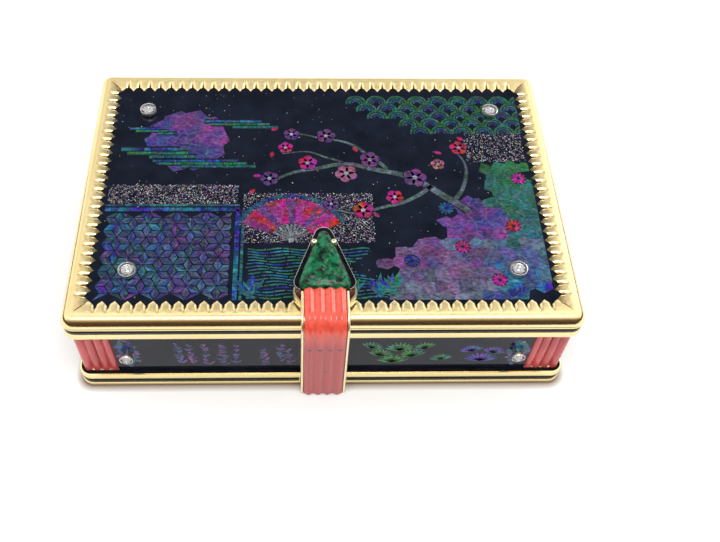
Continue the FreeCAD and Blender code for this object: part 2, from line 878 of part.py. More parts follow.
pieces = {
    "base_rim": base_rim(),
    "base_line": base_line(),
    "bottom_plate": bottom_plate(),
    "arm_guide": arm_guide(),
    "clasp_stop_pin": clasp_stop_pin(),
    "detent_spring": detent_spring(),
    "body_shell": body_shell(),
    "lacquer_front_left": front_panel(-1),
    "lacquer_front_right": front_panel(1),
    "lacquer_left": end_panel(-1),
    "lacquer_right": end_panel(1),
    "lacquer_back": back_panel(),
    "coral_front_left": coral_corner(-1, -1),
    "coral_front_right": coral_corner(1, -1),
    "coral_back_left": coral_corner(-1, 1),
    "coral_back_right": coral_corner(1, 1),
    "front_strip": front_strip(),
    "side_collets": side_collets(),
    "side_diamonds": side_diamonds(),
    "deck_plate": deck_plate(),
    "well_left": well_cup(-1),
    "well_right": well_cup(1),
    "powder_left": powder_cake(-1),
    "powder_right": powder_cake(1),
    "puff_left": puff(-1),
    "puff_right": puff(1),
    "puff_tab_left": puff_tab(-1),
    "puff_tab_right": puff_tab(1),
    "lipstick_trough": lipstick_trough(),
    "lipstick_pin": lipstick_pin(),
    "lift_spring": lift_spring(),
    "lipstick_tube": lipstick_tube(),
    "lipstick_carrier": lipstick_carrier(),
    "lipstick_bullet": lipstick_bullet(),
    "hinge_case_leaf": hinge_case_leaf(),
    "hinge_lid_knuckles": hinge_lid_knuckles(),
    "hinge_pin": hinge_pin(),
    "lid_frame": lid_frame(),
    "lid_line": lid_line(),
    "lid_lacquer": lid_lacquer(),
    "lid_backing": lid_backing(),
    "lid_collets": lid_collets(),
    "lid_diamonds": lid_diamonds(),
    "mirror_frame": mirror_frame(),
    "mirror": mirror(),
    "mirror_pad": mirror_pad(),
    "clasp_bracket": clasp_bracket(),
    "clasp_lines": Part.makeCompound([solid.copy() for solid in arm_lines().Solids]),
    "coral_strap": coral_strap(),
    "head_line": head_line(),
    "emerald": emerald(),
    "head_prongs": head_prongs(),
    "head_scrolls": head_scrolls(),
}

for name, shape in pieces.items():
    print(f"{name:22s} valid={shape.isValid()} solids={len(shape.Solids)} volume={shape.Volume:9.2f} mm3")
    shape.exportStep(f"parts/{name}.step")
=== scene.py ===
import math

import bpy
import numpy as np
from mathutils import Matrix, Vector


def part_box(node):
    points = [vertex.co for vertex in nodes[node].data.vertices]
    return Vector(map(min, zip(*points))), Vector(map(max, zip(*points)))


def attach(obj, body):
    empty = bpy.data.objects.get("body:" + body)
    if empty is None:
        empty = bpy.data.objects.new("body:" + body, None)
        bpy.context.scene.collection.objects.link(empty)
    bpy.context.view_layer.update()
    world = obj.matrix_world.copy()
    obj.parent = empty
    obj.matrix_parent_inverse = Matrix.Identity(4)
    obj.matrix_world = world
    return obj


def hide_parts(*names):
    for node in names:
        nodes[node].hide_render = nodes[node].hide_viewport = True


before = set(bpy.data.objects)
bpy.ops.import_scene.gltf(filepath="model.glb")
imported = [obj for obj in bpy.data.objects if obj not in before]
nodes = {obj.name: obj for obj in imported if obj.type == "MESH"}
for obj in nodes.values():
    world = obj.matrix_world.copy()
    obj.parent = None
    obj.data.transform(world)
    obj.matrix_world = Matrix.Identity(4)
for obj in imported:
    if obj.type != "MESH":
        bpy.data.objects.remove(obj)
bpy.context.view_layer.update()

mm = 0.001


# ---- Lid border -------------------------------------------------------------------------------------
# The lid is a tray of pale gold, raised and filed by hand.  Two beads run round its rim, its border rolls
# up to a soft crown, and the inner edge is cut into pointed claws that are pressed down over the lacquer.

def put(tree, socket, value):
    """Link a socket to another one, or set it to a number, a vector or an opaque colour."""
    if isinstance(value, bpy.types.NodeSocket):
        tree.links.new(value, socket)
    elif socket.type == "RGBA":
        socket.default_value = (*value, 1)
    else:
        socket.default_value = value


def add(tree, kind, *first, **values):
    """New shader node; plain values go to its sockets in order, named ones to a socket or a setting."""
    node = tree.nodes.new(kind)
    for key, value in values.items():
        label = key.replace("_", " ")
        if label in node.inputs:
            put(tree, node.inputs[label], value)
        else:
            setattr(node, key, value)
    for socket, value in zip(node.inputs, first):
        put(tree, socket, value)
    return node


def finish(name):
    """New material with its node tree and Principled shader."""
    material = bpy.data.materials.new(name)
    material.use_nodes = True
    tree = material.node_tree
    return material, tree, tree.nodes["Principled BSDF"]


def dress(tree, shader, **values):
    """Set or link the shader's sockets by name."""
    for key, value in values.items():
        put(tree, shader.inputs[key.replace("_", " ")], value)


def source(shader, label):
    """What now feeds one of the shader's sockets."""
    return shader.inputs[label].links[0].from_socket


def worked(tree, operation, first, second=0.5):
    """Result of arithmetic on two numbers or sockets."""
    return add(tree, "ShaderNodeMath", first, second, operation=operation).outputs[0]


def blend(tree, share, first, second, blend_type="MIX"):
    """Colour between two, as far toward the second as share says."""
    return add(tree, "ShaderNodeMixRGB", share, first, second, blend_type=blend_type).outputs["Color"]


def object_place(tree):
    """Object coordinates."""
    return add(tree, "ShaderNodeTexCoord").outputs["Object"]


def object_height(tree):
    """Object coordinate along Z."""
    return add(tree, "ShaderNodeSeparateXYZ", object_place(tree)).outputs["Z"]


def noise(tree, scale, detail=3.0, stretch=(1.0, 1.0, 1.0)):
    """Noise on Object coordinates, in features per metre, squeezed along each axis by stretch."""
    turn = add(tree, "ShaderNodeMapping", object_place(tree), Scale=stretch)
    grain = add(tree, "ShaderNodeTexNoise", turn.outputs["Vector"], Scale=scale, Detail=detail)
    return grain.outputs["Fac"]


def ramp(tree, factor, stops):
    """Colour ramp over a factor; stops are (place, colour)."""
    node = add(tree, "ShaderNodeValToRGB", factor)
    band = node.color_ramp
    while len(band.elements) < len(stops):
        band.elements.new(0.5)
    for element, (place, colour) in zip(band.elements, stops):
        element.position = place
        element.color = (*colour, 1.0)
    return node.outputs["Color"]


def spread(tree, factor, low, high, low_in=0.3, high_in=0.7):
    """Factor stretched from its usual range to low .. high."""
    return add(tree, "ShaderNodeMapRange", factor, low_in, high_in, low, high).outputs["Result"]


def bump(tree, shader, height, strength, distance):
    """Bump from a height, into the shader's normal."""
    node = add(tree, "ShaderNodeBump", Strength=strength, Distance=distance, Height=height)
    dress(tree, shader, Normal=node.outputs["Normal"])


def gold_finish(name, light, deep, roughness, brushed=(1.0, 1.0, 1.0), grain=2600.0, relief=0.05):
    """Gold with a slow drift of tone, a fine grain in its gloss and faint tool marks."""
    material, tree, shader = finish(name)
    marks = noise(tree, grain, 5.0, brushed)
    dress(tree, shader, Metallic=1.0, Base_Color=ramp(tree, noise(tree, 90.0), [(0.3, deep), (0.7, light)]),
          Roughness=spread(tree, marks, roughness * 0.8, roughness * 1.25))
    bump(tree, shader, marks, relief, 0.00004)
    return material


def mottled(name, grain, deep, light, gloss=None, relief=None, low=0.3, **values):
    """Material that drifts from deep to light over a noise.

    grain is the noise's scale, detail and stretch; gloss is (scale, least and most roughness); relief is
    (a grain, strength, distance) of a bump; the other values go to the shader's sockets.
    """
    material, tree, shader = finish(name)
    if gloss:
        values["Roughness"] = spread(tree, noise(tree, gloss[0]), *gloss[1:])
    dress(tree, shader, Base_Color=ramp(tree, noise(tree, *grain), [(low, deep), (0.7, light)]), **values)
    if relief:
        bump(tree, shader, noise(tree, *relief[0]), *relief[1:])
    return material


def box_mm(node):
    """Node's box in millimetres."""
    low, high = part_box(node)
    return np.array(low) / mm, np.array(high) / mm


def grid_faces(rows, columns, close_rows, close_columns):
    """Quads of a grid of points, row by row; each direction may close on itself."""
    i = np.arange(rows if close_rows else rows - 1)[:, None]
    j = np.arange(columns if close_columns else columns - 1)[None, :]
    i2 = (i + 1) % rows
    j2 = (j + 1) % columns
    quads = np.stack([i * columns + j, i2 * columns + j, i2 * columns + j2, i * columns + j2], axis=-1)
    return quads.reshape(-1, 4).tolist()


def swept(rows, closed=False):
    """Closed body through rows of points, each row a closed outline; open ends get a flat cap."""
    rows = np.asarray(rows, float)
    count, columns = rows.shape[:2]
    faces = grid_faces(count, columns, closed, True)
    if not closed:
        faces.append(list(range(columns)))
        faces.append([(count - 1) * columns + i for i in reversed(range(columns))])
    return facing_out(rows.reshape(-1, 3), faces)


def facing_out(points, faces):
    """Same body with every face turned outward: its volume is positive."""
    volume = 0.0
    for face in faces:
        a = points[face[0]]
        for i in range(1, len(face) - 1):
            volume += np.dot(a, np.cross(points[face[i]], points[face[i + 1]]))
    if volume < 0:
        faces = [face[::-1] for face in faces]
    return points, faces


def joined(bodies):
    """Points and faces of several bodies as one list each."""
    points, faces, start = [], [], 0
    for some_points, some_faces in bodies:
        points.append(np.asarray(some_points, float).reshape(-1, 3))
        faces += [[start + i for i in face] for face in some_faces]
        start += len(points[-1])
    return np.vstack(points), faces


def placed(name, data):
    """Object in the scene from a mesh, a light or a camera."""
    thing = bpy.data.objects.new(name, data)
    bpy.context.scene.collection.objects.link(thing)
    return thing


def new_piece(name, shape, body, material, sharp=35.0, instead=None):
    """Object from (points in millimetres, faces) that rides on a body and takes a slot's finish.

    instead names the CAD node that it stands for.
    """
    points, faces = shape
    mesh = bpy.data.meshes.new(name)
    mesh.from_pydata((np.asarray(points) * mm).tolist(), [], faces)
    mesh.materials.append(material)
    mesh.polygons.foreach_set("use_smooth", np.full(len(mesh.polygons), sharp > 0))
    if 0 < sharp < 180:
        mesh.set_sharp_from_angle(angle=math.radians(sharp))
    mesh.update()
    piece = placed(name, mesh)
    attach(piece, body)
    if instead:
        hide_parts(instead)
    return piece


def point_layer(piece, name, kind, values):
    """Store a number or a colour at every point of a piece."""
    layer = piece.data.attributes.new(name, kind, "POINT")
    layer.data.foreach_set("value" if kind == "FLOAT" else "color", np.ravel(values).astype(np.float32))


def refinish(node, material):
    """Give a CAD node's own mesh a finish."""
    materials = bpy.data.objects[node].data.materials
    materials.clear()
    materials.append(material)


def level_ring(outline, z):
    """Outline lifted to a height."""
    return np.column_stack([outline, np.full(len(outline), z)])


def beside(path):
    """Unit vectors to the left of a path in a plane."""
    run = np.gradient(path, axis=0)
    return np.column_stack([-run[:, 1], run[:, 0]]) / np.maximum(np.linalg.norm(run, axis=1), 1e-9)[:, None]


def eased(corners, count, kernel):
    """Points along a polyline, its turns softened by a kernel; the ends stay."""
    corners = np.array(corners, float)
    t = np.linspace(0, len(corners) - 1, count)
    path = np.column_stack([np.interp(t, range(len(corners)), places) for places in corners.T])
    edge = len(kernel) // 2
    for axis in (0, 1):
        path[edge:-edge, axis] = np.convolve(path[:, axis], kernel, "valid")
    return path


def ray(angle, length=1.0):
    """Vector in a plane from its angle and length."""
    return length * np.array([math.cos(angle), math.sin(angle)])


def arc(centre, radius, angles):
    """Points round a centre at some angles."""
    return np.asarray(centre) + radius * np.column_stack([np.cos(angles), np.sin(angles)])


satin_gold = gold_finish("satin_gold", (0.95, 0.79, 0.43), (0.92, 0.73, 0.36), 0.46, relief=0.03)
polished_gold = gold_finish("polished_gold", (0.95, 0.81, 0.43), (0.90, 0.75, 0.36), 0.16)

lid_low, lid_high = box_mm("lid_frame")
tree = satin_gold.node_tree
shader = tree.nodes["Principled BSDF"]
worn = spread(tree, object_height(tree), 0.28, 1.0, (lid_high[2] - 0.45) * mm, (lid_high[2] - 0.04) * mm)
# Painted shade: a per-point layer darkens the gold to deep brown in the claws' valleys, along the mitre's slit
# and at the foot against the lacquer.
painted_recess_shade = add(tree, "ShaderNodeAttribute", attribute_name="painted_recess_shade").outputs["Fac"]
satin, tone = source(shader, "Roughness"), source(shader, "Base Color")
dress(tree, shader, Roughness=worked(tree, "MULTIPLY", satin, worn),
      Base_Color=blend(tree, spread(tree, painted_recess_shade, 0.0, 0.95, 0.1, 0.9), tone, (0.10, 0.045, 0.015)))
half_width, half_depth = lid_high[0], lid_high[1]
lid_bottom, lid_crown = lid_low[2], lid_high[2]
lacquer_top = box_mm("lid_lacquer")[1][2]
lid_line_low, lid_line_high = box_mm("lid_line")
corner_radius = 2.2
border_width = 4.6
tooth_depth = 1.15
tooth_pitch = 2.05
lid_wall = 2.6
line_depth = 0.35
claw_start = 2.0
roll_foot = lid_line_high[2] + 0.62
claw_drop = 0.5
groove_depth = 0.42
per_tooth = 12
roll_start = math.radians(18)
mitre_gap, mitre_flare, mitre_slit = 0.13, 0.4, 1.7


def bead(z0, z1, depth, steps):
    """Half round of a rim between two heights: (inset, height), full out at its middle."""
    turn = np.linspace(-1, 1, steps)
    return list(zip(depth * (1 - np.sqrt(1 - 0.96 * turn ** 2)), z0 + (turn + 1) / 2 * (z1 - z0)))


rim_profile = [(lid_wall, lid_bottom), (0.75, lid_bottom)]
rim_profile += bead(lid_bottom - 0.35, lid_line_low[2] - 0.02, 0.16, 9)
rim_profile += [(line_depth, lid_line_low[2]), (line_depth, lid_line_high[2])]
rim_profile += bead(lid_line_high[2] + 0.02, roll_foot - 0.02, 0.12, 7)
for turn in np.linspace(roll_start, math.pi / 2, 13):
    rise = (math.sin(turn) - math.sin(roll_start)) / (1 - math.sin(roll_start))
    rim_profile.append((0.04 + 1.5 * (math.cos(roll_start) - math.cos(turn)),
                        roll_foot + (lid_crown - 0.1 - roll_foot) * rise))
rim_inset, rim_height = np.array(rim_profile).T
claw_root = rim_inset[-1] + 0.1
across_claw = np.linspace(0, 1, 16)


def side_wave(place, half_side):
    """0 on a claw's ridge and 1 in a valley, in straight flanks; each side starts and ends on a ridge."""
    count = round(2 * half_side / tooth_pitch)
    return 1 - 2 * abs(((place + half_side) / (2 * half_side) * count) % 1 - 0.5)


def border_profile(wave, edge, slit=0.0):
    """Inset, height and painted recess shade of the border across one station, from the rim's foot to the tray's
    wall.

    The crown falls away to the claws' tips as a power of the distance; a V groove opens toward each valley.
    """
    inset = claw_root + across_claw * (edge - claw_root)
    fall = np.clip((inset - claw_start) / (border_width - claw_start), 0, 1)
    crown = lid_crown - 0.1 + 0.1 * np.sin(np.clip((inset - claw_root) / 1.2, 0, 1) * math.pi / 2)
    near = np.clip((inset - claw_start) / 1.3, 0, 1)
    valley = np.clip((wave - 0.55) / 0.45, 0, 1)
    groove = groove_depth * near ** 1.1 * valley ** 1.3
    top = crown - claw_drop * fall ** 1.6 - groove - 0.06 * wave ** 2 * fall - 0.7 * slit * near ** 0.7
    # Painted shade: how far the gold is darkened toward each valley, the mitre's slit and the tray's wall.
    painted_recess_shade = np.maximum(near ** 0.8 * np.clip((wave - 0.72) / 0.28, 0, 1) ** 1.5, slit * near ** 0.5)
    insets = np.concatenate([rim_inset, inset, [edge, edge, lid_wall]])
    heights = np.concatenate([rim_height, top, [(top[-1] + lacquer_top) / 2, lacquer_top, lacquer_top]])
    return insets, heights, np.concatenate([0 * rim_inset, painted_recess_shade, [0.6, 1, 1]])


def border_rows():
    """Rows of the border and their painted recess shade: stations along each side, and a claw slit along the
    mitre.
    """
    rows, painted_recess_shades = [], []
    for quarter in range(4):
        outward = np.array([(0, -1), (1, 0), (0, 1), (-1, 0)][quarter], float)
        along = np.array([-outward[1], outward[0]])
        half_along, half_out = (half_width, half_depth) if quarter % 2 == 0 else (half_depth, half_width)
        half_side = half_along - border_width
        count = round(2 * half_side / tooth_pitch) * per_tooth
        for place in np.linspace(-half_side, half_side, count + 1):
            wave = side_wave(place, half_side)
            insets, heights, painted_recess_shade = border_profile(wave, border_width - tooth_depth * wave)
            flat = along * place + outward * (half_out - insets)[:, None]
            rows.append(np.column_stack([flat, heights]))
            painted_recess_shades.append(painted_recess_shade)
        # The corner: round outside, and inside two claws with a slit between them
        for turn in (0.1, 0.2, 0.3, 0.4, 0.45, 0.485, 0.5, 0.515, 0.55, 0.6, 0.7, 0.8, 0.9):
            slit = 1.0 if turn == 0.5 else 0.0
            insets, heights, painted_recess_shade = border_profile(0.0, border_width - mitre_slit * slit, slit)
            reach = border_width - insets
            radius = np.minimum(np.maximum(corner_radius - insets, 0.14), reach)
            angle = np.clip((turn - 0.2) / 0.6, 0, 1) * math.pi / 2
            u = (reach - radius) * min(turn / 0.2, 1.0) + radius * math.sin(angle)
            v = (reach - radius) * min((1 - turn) / 0.2, 1.0) + radius * math.cos(angle)
            inner = insets > corner_radius
            side_gap = 0.0 if slit else mitre_gap + mitre_flare * max(abs(turn - 0.5) - 0.02, 0.0)
            u = np.where(inner, reach - (side_gap if turn < 0.5 else 0.0), u)
            v = np.where(inner, reach - (side_gap if turn > 0.5 else 0.0), v)
            u, v = np.maximum(u, 0), np.maximum(v, 0)
            flat = along * (half_side + u)[:, None] + outward * (half_out - border_width + v)[:, None]
            rows.append(np.column_stack([flat, heights]))
            painted_recess_shades.append(painted_recess_shade)
    return np.array(rows), np.concatenate(painted_recess_shades)


border_stations, border_painted_shade = border_rows()
lid_border = new_piece("lid_border", swept(border_stations, closed=True), "lid", satin_gold, 50.0)
point_layer(lid_border, "painted_recess_shade", "FLOAT", border_painted_shade)
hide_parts("lid_frame")


# ---- Base border ------------------------------------------------------------------------------------
# The foot repeats the rim: two beads with a black line between them, and a flat polished ledge above.
# It is parted at the front by the way through for the clasp's arm, with a thin bridge over it.

def slab_ring(inset, z):
    """Outline of the case drawn in by inset, as a loop from the middle of the front round to it again."""
    radius = max(corner_radius - inset, 0.05)
    x, y = half_width - inset - radius, half_depth - inset - radius
    points = []
    for sx, sy, first in ((1, -1, -90), (1, 1, 0), (-1, 1, 90), (-1, -1, 180)):
        for angle in np.radians(np.linspace(first, first + 90, 9)):
            points.append((sx * x + radius * math.cos(angle), sy * y + radius * math.sin(angle), z))
    return np.array(points)


def gapped_rows(profile, gap):
    """Rows of a profile carried round the case from one side of a gap in its front to the other."""
    loops = []
    for inset, z in profile:
        front = -half_depth + inset
        loops.append(np.vstack([(gap, front, z), slab_ring(inset, z), (-gap, front, z)]))
    return np.transpose(loops, (1, 0, 2))


def ring_rows(profile):
    """Rows of a profile carried all round the case."""
    return np.transpose([slab_ring(inset, z) for inset, z in profile], (1, 0, 2))


base_high = box_mm("base_rim")[1]
base_line_low, base_line_high = box_mm("base_line")
base_ring = 2.4
slot_half = (box_mm("lacquer_front_right")[0][0] + box_mm("front_strip")[1][0]) / 2
arm_low, arm_high = box_mm("clasp_lines")
slot_low, slot_high = 0.6, base_high[2] - 0.5
base_profile = [(base_ring, 0.0), (0.3, 0.0), (0.16, 0.05), (0.07, 0.2), (0.02, 0.5), (0.0, 0.85),
                (0.03, 1.12), (0.14, base_line_low[2] - 0.03)]
base_profile += [(line_depth, base_line_low[2]), (line_depth, base_line_high[2])]
base_profile += bead(base_line_high[2] + 0.02, base_high[2] - 0.12, 0.16, 9)
base_profile += [(0.4, base_high[2] - 0.06), (0.55, base_high[2] - 0.02), (base_ring, base_high[2] - 0.02)]
bridge_profile = [(i, z) for i, z in base_profile if z > slot_high]
bridge_profile += [(base_ring, slot_high), (0.05, slot_high)]
sill_profile = [(i, z) for i, z in base_profile if z < slot_low] + [(0.05, slot_low), (base_ring, slot_low)]
bridges = []
for profile in (bridge_profile, sill_profile):
    bridges.append(swept([[(x, -half_depth + i, z) for i, z in profile] for x in (-slot_half, slot_half)]))
new_piece("base_border", joined([swept(gapped_rows(base_profile, slot_half))] + bridges), "case",
          polished_gold, instead="base_rim")


# ---- Black lines round the rims ---------------------------------------------------------------------
# Black enamel fired into the grooves, a little under the gold beads: glossy, with a slight orange-peel
# surface and rounded shoulders where it drew up to the metal.

enamel = mottled("black_enamel", (900.0,), (0.004, 0.004, 0.006), (0.013, 0.012, 0.016), (3000.0, 0.05, 0.1),
                 ((1400.0,), 0.15, 0.00003), low=0.35, Specular_IOR_Level=0.12)


def band_profile(low, high, sunk=0.1):
    """Enamel band's cross-section between two heights: soft shoulders, sunk below the beads."""
    return [(line_depth + 0.2, low), (sunk + 0.1, low), (sunk + 0.02, low + 0.12), (sunk, (low + high) / 2),
            (sunk + 0.02, high - 0.12), (sunk + 0.1, high), (line_depth + 0.2, high)]


lid_band = swept(ring_rows(band_profile(lid_line_low[2], lid_line_high[2])), closed=True)
new_piece("lid_enamel", lid_band, "lid", enamel, instead="lid_line")
line_gap = box_mm("front_strip")[1][0] + 0.3
base_band = swept(gapped_rows(band_profile(base_line_low[2], base_line_high[2]), line_gap))
new_piece("base_enamel", base_band, "case", enamel, instead="base_line")
# A black band laid flat on the ledge at the top of the base, inside its upper bead.
ledge = [(0.36, base_high[2] - 0.05), (0.42, base_high[2]), (1.1, base_high[2]), (1.1, base_high[2] - 0.05)]
new_piece("ledge_black_band", swept(ring_rows(ledge), closed=True), "case", enamel)


# ---- Coral corners ----------------------------------------------------------------------------------
# Each upright corner of the body is a reeded coral angle: four half-round bars to a face, the first one
# shared on the corner itself.  The plan is drawn once as the envelope of the bars and mirrored four ways.

def coral_finish(name, light, deep, streaks=(1.0, 1.0, 0.35)):
    """Carved coral: close-grained, waxy, a little light under the skin, faint growth rings and pale flecks."""
    material, tree, shader = finish(name)
    stops = [(0.3, deep), (0.62, light), (0.8, tuple(min(1, 1.12 * c) for c in light))]
    dress(tree, shader, Base_Color=ramp(tree, noise(tree, 420.0, 4.0, streaks), stops),
          Roughness=spread(tree, noise(tree, 1200.0), 0.12, 0.24), Subsurface_Weight=0.12,
          Subsurface_Radius=(0.0012, 0.0005, 0.0004), Subsurface_Scale=0.5)
    bump(tree, shader, noise(tree, 700.0, 2.0), 0.05, 0.00004)
    return material


coral = coral_finish("coral", (0.62, 0.095, 0.097), (0.46, 0.058, 0.064))
corner_low, corner_high = box_mm("coral_front_right")
body_x, body_y = box_mm("lacquer_right")[1][0], box_mm("lacquer_back")[1][1]
body_bottom, deck_bottom = corner_low[2], corner_high[2]
shell_x, shell_y = box_mm("body_shell")[1][:2]
face_width = 6.2
reed_radius = 0.8
reed_pitch = (face_width - 2 * reed_radius) / 3
reed_depth = 0.5


def reed_edge(along, crest):
    """Outer edge of a reeded face at distances from the corner bar's centre: bars with web between."""
    nearest = along - reed_pitch * np.clip(np.round(along / reed_pitch), 0, 3)
    arc = np.sqrt(np.maximum(reed_radius ** 2 - nearest ** 2, 0)) - reed_radius
    return crest + np.maximum(arc, -reed_depth)


def corner_plan():
    """Plan of the coral angle in the corner where x and y are both positive."""
    cx, cy = body_x - reed_radius, body_y - reed_radius
    along = np.linspace(face_width - reed_radius, 0, 41)
    face = [(cx - a, reed_edge(a, body_y)) for a in along]
    turn = [(cx + reed_radius * math.sin(t), cy + reed_radius * math.cos(t))
            for t in np.linspace(0, math.pi / 2, 9)[1:-1]]
    side = [(reed_edge(a, body_x), cy - a) for a in along[::-1]]
    back_x, back_y = body_x - face_width, body_y - face_width
    return np.array(face + turn + side + [(shell_x, back_y), (shell_x, shell_y), (back_x, shell_y)])


for name, sx, sy in (("front_left", -1, -1), ("front_right", 1, -1), ("back_left", -1, 1),
                     ("back_right", 1, 1)):
    plan = corner_plan() * (sx, sy)
    upright = swept([level_ring(plan, z) for z in (body_bottom, deck_bottom)])
    new_piece("coral_corner_" + name, upright, "case", coral, 40.0, "coral_" + name)


# ---- Lacquer ----------------------------------------------------------------------------------------
# Deep black lacquer under a hard polish: faint dust of shell far down in it, a breath of blue, and long
# shallow waves from rubbing down that keep its reflections from being quite straight.

lacquer, tree, shader = finish("black_lacquer")
deep = ramp(tree, noise(tree, 260.0, 4.0), [(0.3, (0.004, 0.006, 0.012)), (0.75, (0.010, 0.013, 0.026))])
cells = add(tree, "ShaderNodeTexVoronoi", object_place(tree), Scale=4200.0)
fleck = ramp(tree, cells.outputs["Distance"], [(0.05, (0.10, 0.13, 0.16)), (0.12, (0.0, 0.0, 0.0))])
dress(tree, shader, Base_Color=blend(tree, 0.35, deep, fleck, "ADD"), Specular_IOR_Level=0.22,
      Roughness=spread(tree, noise(tree, 1200.0), 0.03, 0.07))
bump(tree, shader, noise(tree, 60.0, 1.0), 0.12, 0.0002)
for node in nodes:
    if "lacquer" in node:
        refinish(node, lacquer)


# ---- Inlaid shell: tools ----------------------------------------------------------------------------
# Every sliver of shell is its own thin plate.  A plate is a convex or star-shaped outline in the plane of
# its panel, lifted a few hundredths of a millimetre; later layers lie a little higher than earlier ones.

pearl, tree, shader = finish("mother_of_pearl")
tint = add(tree, "ShaderNodeAttribute", attribute_name="tint").outputs
shift = add(tree, "ShaderNodeHueSaturation", Saturation=1.2, Color=tint["Color"],
            Hue=spread(tree, noise(tree, 300.0, 3.0), 0.40, 0.60),
            Value=spread(tree, noise(tree, 1300.0, 6.0, (1.0, 1.9, 1.0)), 0.22, 1.35))
cloud = worked(tree, "MULTIPLY", spread(tree, noise(tree, 700.0, 4.0), 0.0, 0.28, 0.45, 0.8), tint["Alpha"])
milky = blend(tree, cloud, shift.outputs["Color"], (0.10, 0.10, 0.13))
place = object_place(tree)
grain = add(tree, "ShaderNodeTexNoise", place, Scale=600.0, Detail=3.0)
wander = add(tree, "ShaderNodeVectorMath", grain.outputs["Color"], operation="SCALE", Scale=0.0022)
bend = add(tree, "ShaderNodeVectorMath", place, wander.outputs["Vector"], operation="ADD")
veins = add(tree, "ShaderNodeTexVoronoi", bend.outputs["Vector"], feature="DISTANCE_TO_EDGE", Scale=430.0)
line = worked(tree, "MULTIPLY", spread(tree, veins.outputs["Distance"], 0.35, 0.0, 0.0, 0.035), tint["Alpha"])
dress(tree, shader, Base_Color=blend(tree, line, milky, (0.20, 0.26, 0.30)), Metallic=0.25,
      Roughness=spread(tree, noise(tree, 2600.0, 4.0), 0.3, 0.55), Specular_IOR_Level=0.3,
      Coat_Weight=spread(tree, tint["Alpha"], 0.0, 0.5, 0.0, 1.0), Coat_Roughness=0.04)
bump(tree, shader, noise(tree, 1900.0, 4.0, (1.0, 3.0, 1.0)), 0.2, 0.00003)

dice = np.random.default_rng(20)
teal, green, blue = (0.020, 0.090, 0.110), (0.020, 0.115, 0.058), (0.035, 0.085, 0.210)
violet, plum, pink = (0.050, 0.048, 0.190), (0.130, 0.048, 0.165), (0.400, 0.062, 0.165)
mist, moss, silver = (0.110, 0.125, 0.180), (0.050, 0.105, 0.065), (0.270, 0.290, 0.330)
ink = (0.004, 0.006, 0.014)


def shade(colour, least=0.6, most=1.35):
    """Colour made a little lighter or darker at random."""
    return np.clip(np.array(colour) * dice.uniform(least, most), 0, 1)


def mixed(first, second, t):
    """Colour part way from first to second."""
    return np.array(first) * (1 - t) + np.array(second) * t


def shrunk(outline, gap):
    """Outline drawn in toward its middle, so that black shows between it and its neighbours."""
    outline = np.asarray(outline, float)
    middle = outline.mean(axis=0)
    arm = outline - middle
    length = np.maximum(np.linalg.norm(arm, axis=1), 1e-6)[:, None]
    return middle + arm * np.maximum(1 - gap / length, 0.15)


def cut_back(outline, point, normal):
    """Part of a convex outline that lies behind a line."""
    kept = []
    side = (outline - point) @ normal
    for i in range(len(outline)):
        j = (i + 1) % len(outline)
        if side[i] <= 0:
            kept.append(outline[i])
        if side[i] * side[j] < 0:
            t = side[i] / (side[i] - side[j])
            kept.append(outline[i] + t * (outline[j] - outline[i]))
    return np.array(kept)


def trimmed(outline, low, high):
    """Convex outline kept inside a rectangle."""
    outline = np.asarray(outline, float)
    for axis in (0, 1):
        for bound, sign in ((low[axis], -1), (high[axis], 1)):
            normal = np.zeros(2)
            normal[axis] = sign
            if len(outline) > 2:
                outline = cut_back(outline, bound * np.abs(normal), normal)
    return outline


def mosaic(seeds, gap=0.06):
    """Cells of the plane nearest to each seed, drawn in a little: irregular plates that fit together."""
    cells = []
    for i, seed in enumerate(seeds):
        apart = np.linalg.norm(seeds - seed, axis=1)
        near = np.argsort(apart)[1:15]
        size = apart[near[-1]]
        cell = seed + size * np.array([(-1, -1), (1, -1), (1, 1), (-1, 1)], float)
        for j in near:
            if len(cell) > 2:
                cell = cut_back(cell, (seed + seeds[j]) / 2, seeds[j] - seed)
        cells.append(shrunk(cell, gap) if len(cell) > 2 else None)
    return cells


def strip(path, widths, gap=0.0):
    """Quads along a path of points with a width at each point."""
    path = np.asarray(path, float)
    half = beside(path) * np.asarray(widths)[:, None] / 2
    left, right = path + half, path - half
    return [shrunk([right[i], right[i + 1], left[i + 1], left[i]], gap) for i in range(len(path) - 1)]


def petal(foot, angle, length, width, steps=7):
    """Leaf-shaped outline from a foot: width follows the sine of the way along to the power 0.8."""
    t = np.linspace(0, 1, steps)
    half = width / 2 * np.sin(math.pi * t) ** 0.8
    along = ray(angle)
    across = np.array([-along[1], along[0]])
    out = [foot + along * length * a + across * b for a, b in zip(t, half)]
    back = [foot + along * length * a - across * b for a, b in zip(t[-2:0:-1], half[-2:0:-1])]
    return np.array(out + back)


def disc(centre, radius, sides=12, turn=0.0):
    """Regular outline round a centre."""
    return arc(centre, radius, turn + np.arange(sides) * 2 * math.pi / sides)


def inlay(name, plates, body, origin, across, up, outward):
    """One piece from plates (outline, height, colour) set on a plane; heights are in hundredths.

    The black ground of a motif is marked by a tint without alpha, so that it gets none of the shell's gloss.
    """
    origin, across, up, outward = (np.array(v, float) for v in (origin, across, up, outward))
    bodies, colours = [], []
    for outline, height, colour in plates:
        if outline is None or len(outline) < 3:
            continue
        flat = origin + outline[:, :1] * across + outline[:, 1:] * up
        bodies.append(swept([flat - outward * 0.01, flat + outward * height * 0.01]))
        shell = 0.0 if tuple(colour) == ink else 1.0
        colours.append(np.tile([*np.clip(colour, 0, 1), shell], (2 * len(outline), 1)))
    piece = new_piece(name, joined(bodies), body, pearl, 0.0)
    point_layer(piece, "tint", "FLOAT_COLOR", np.vstack(colours))


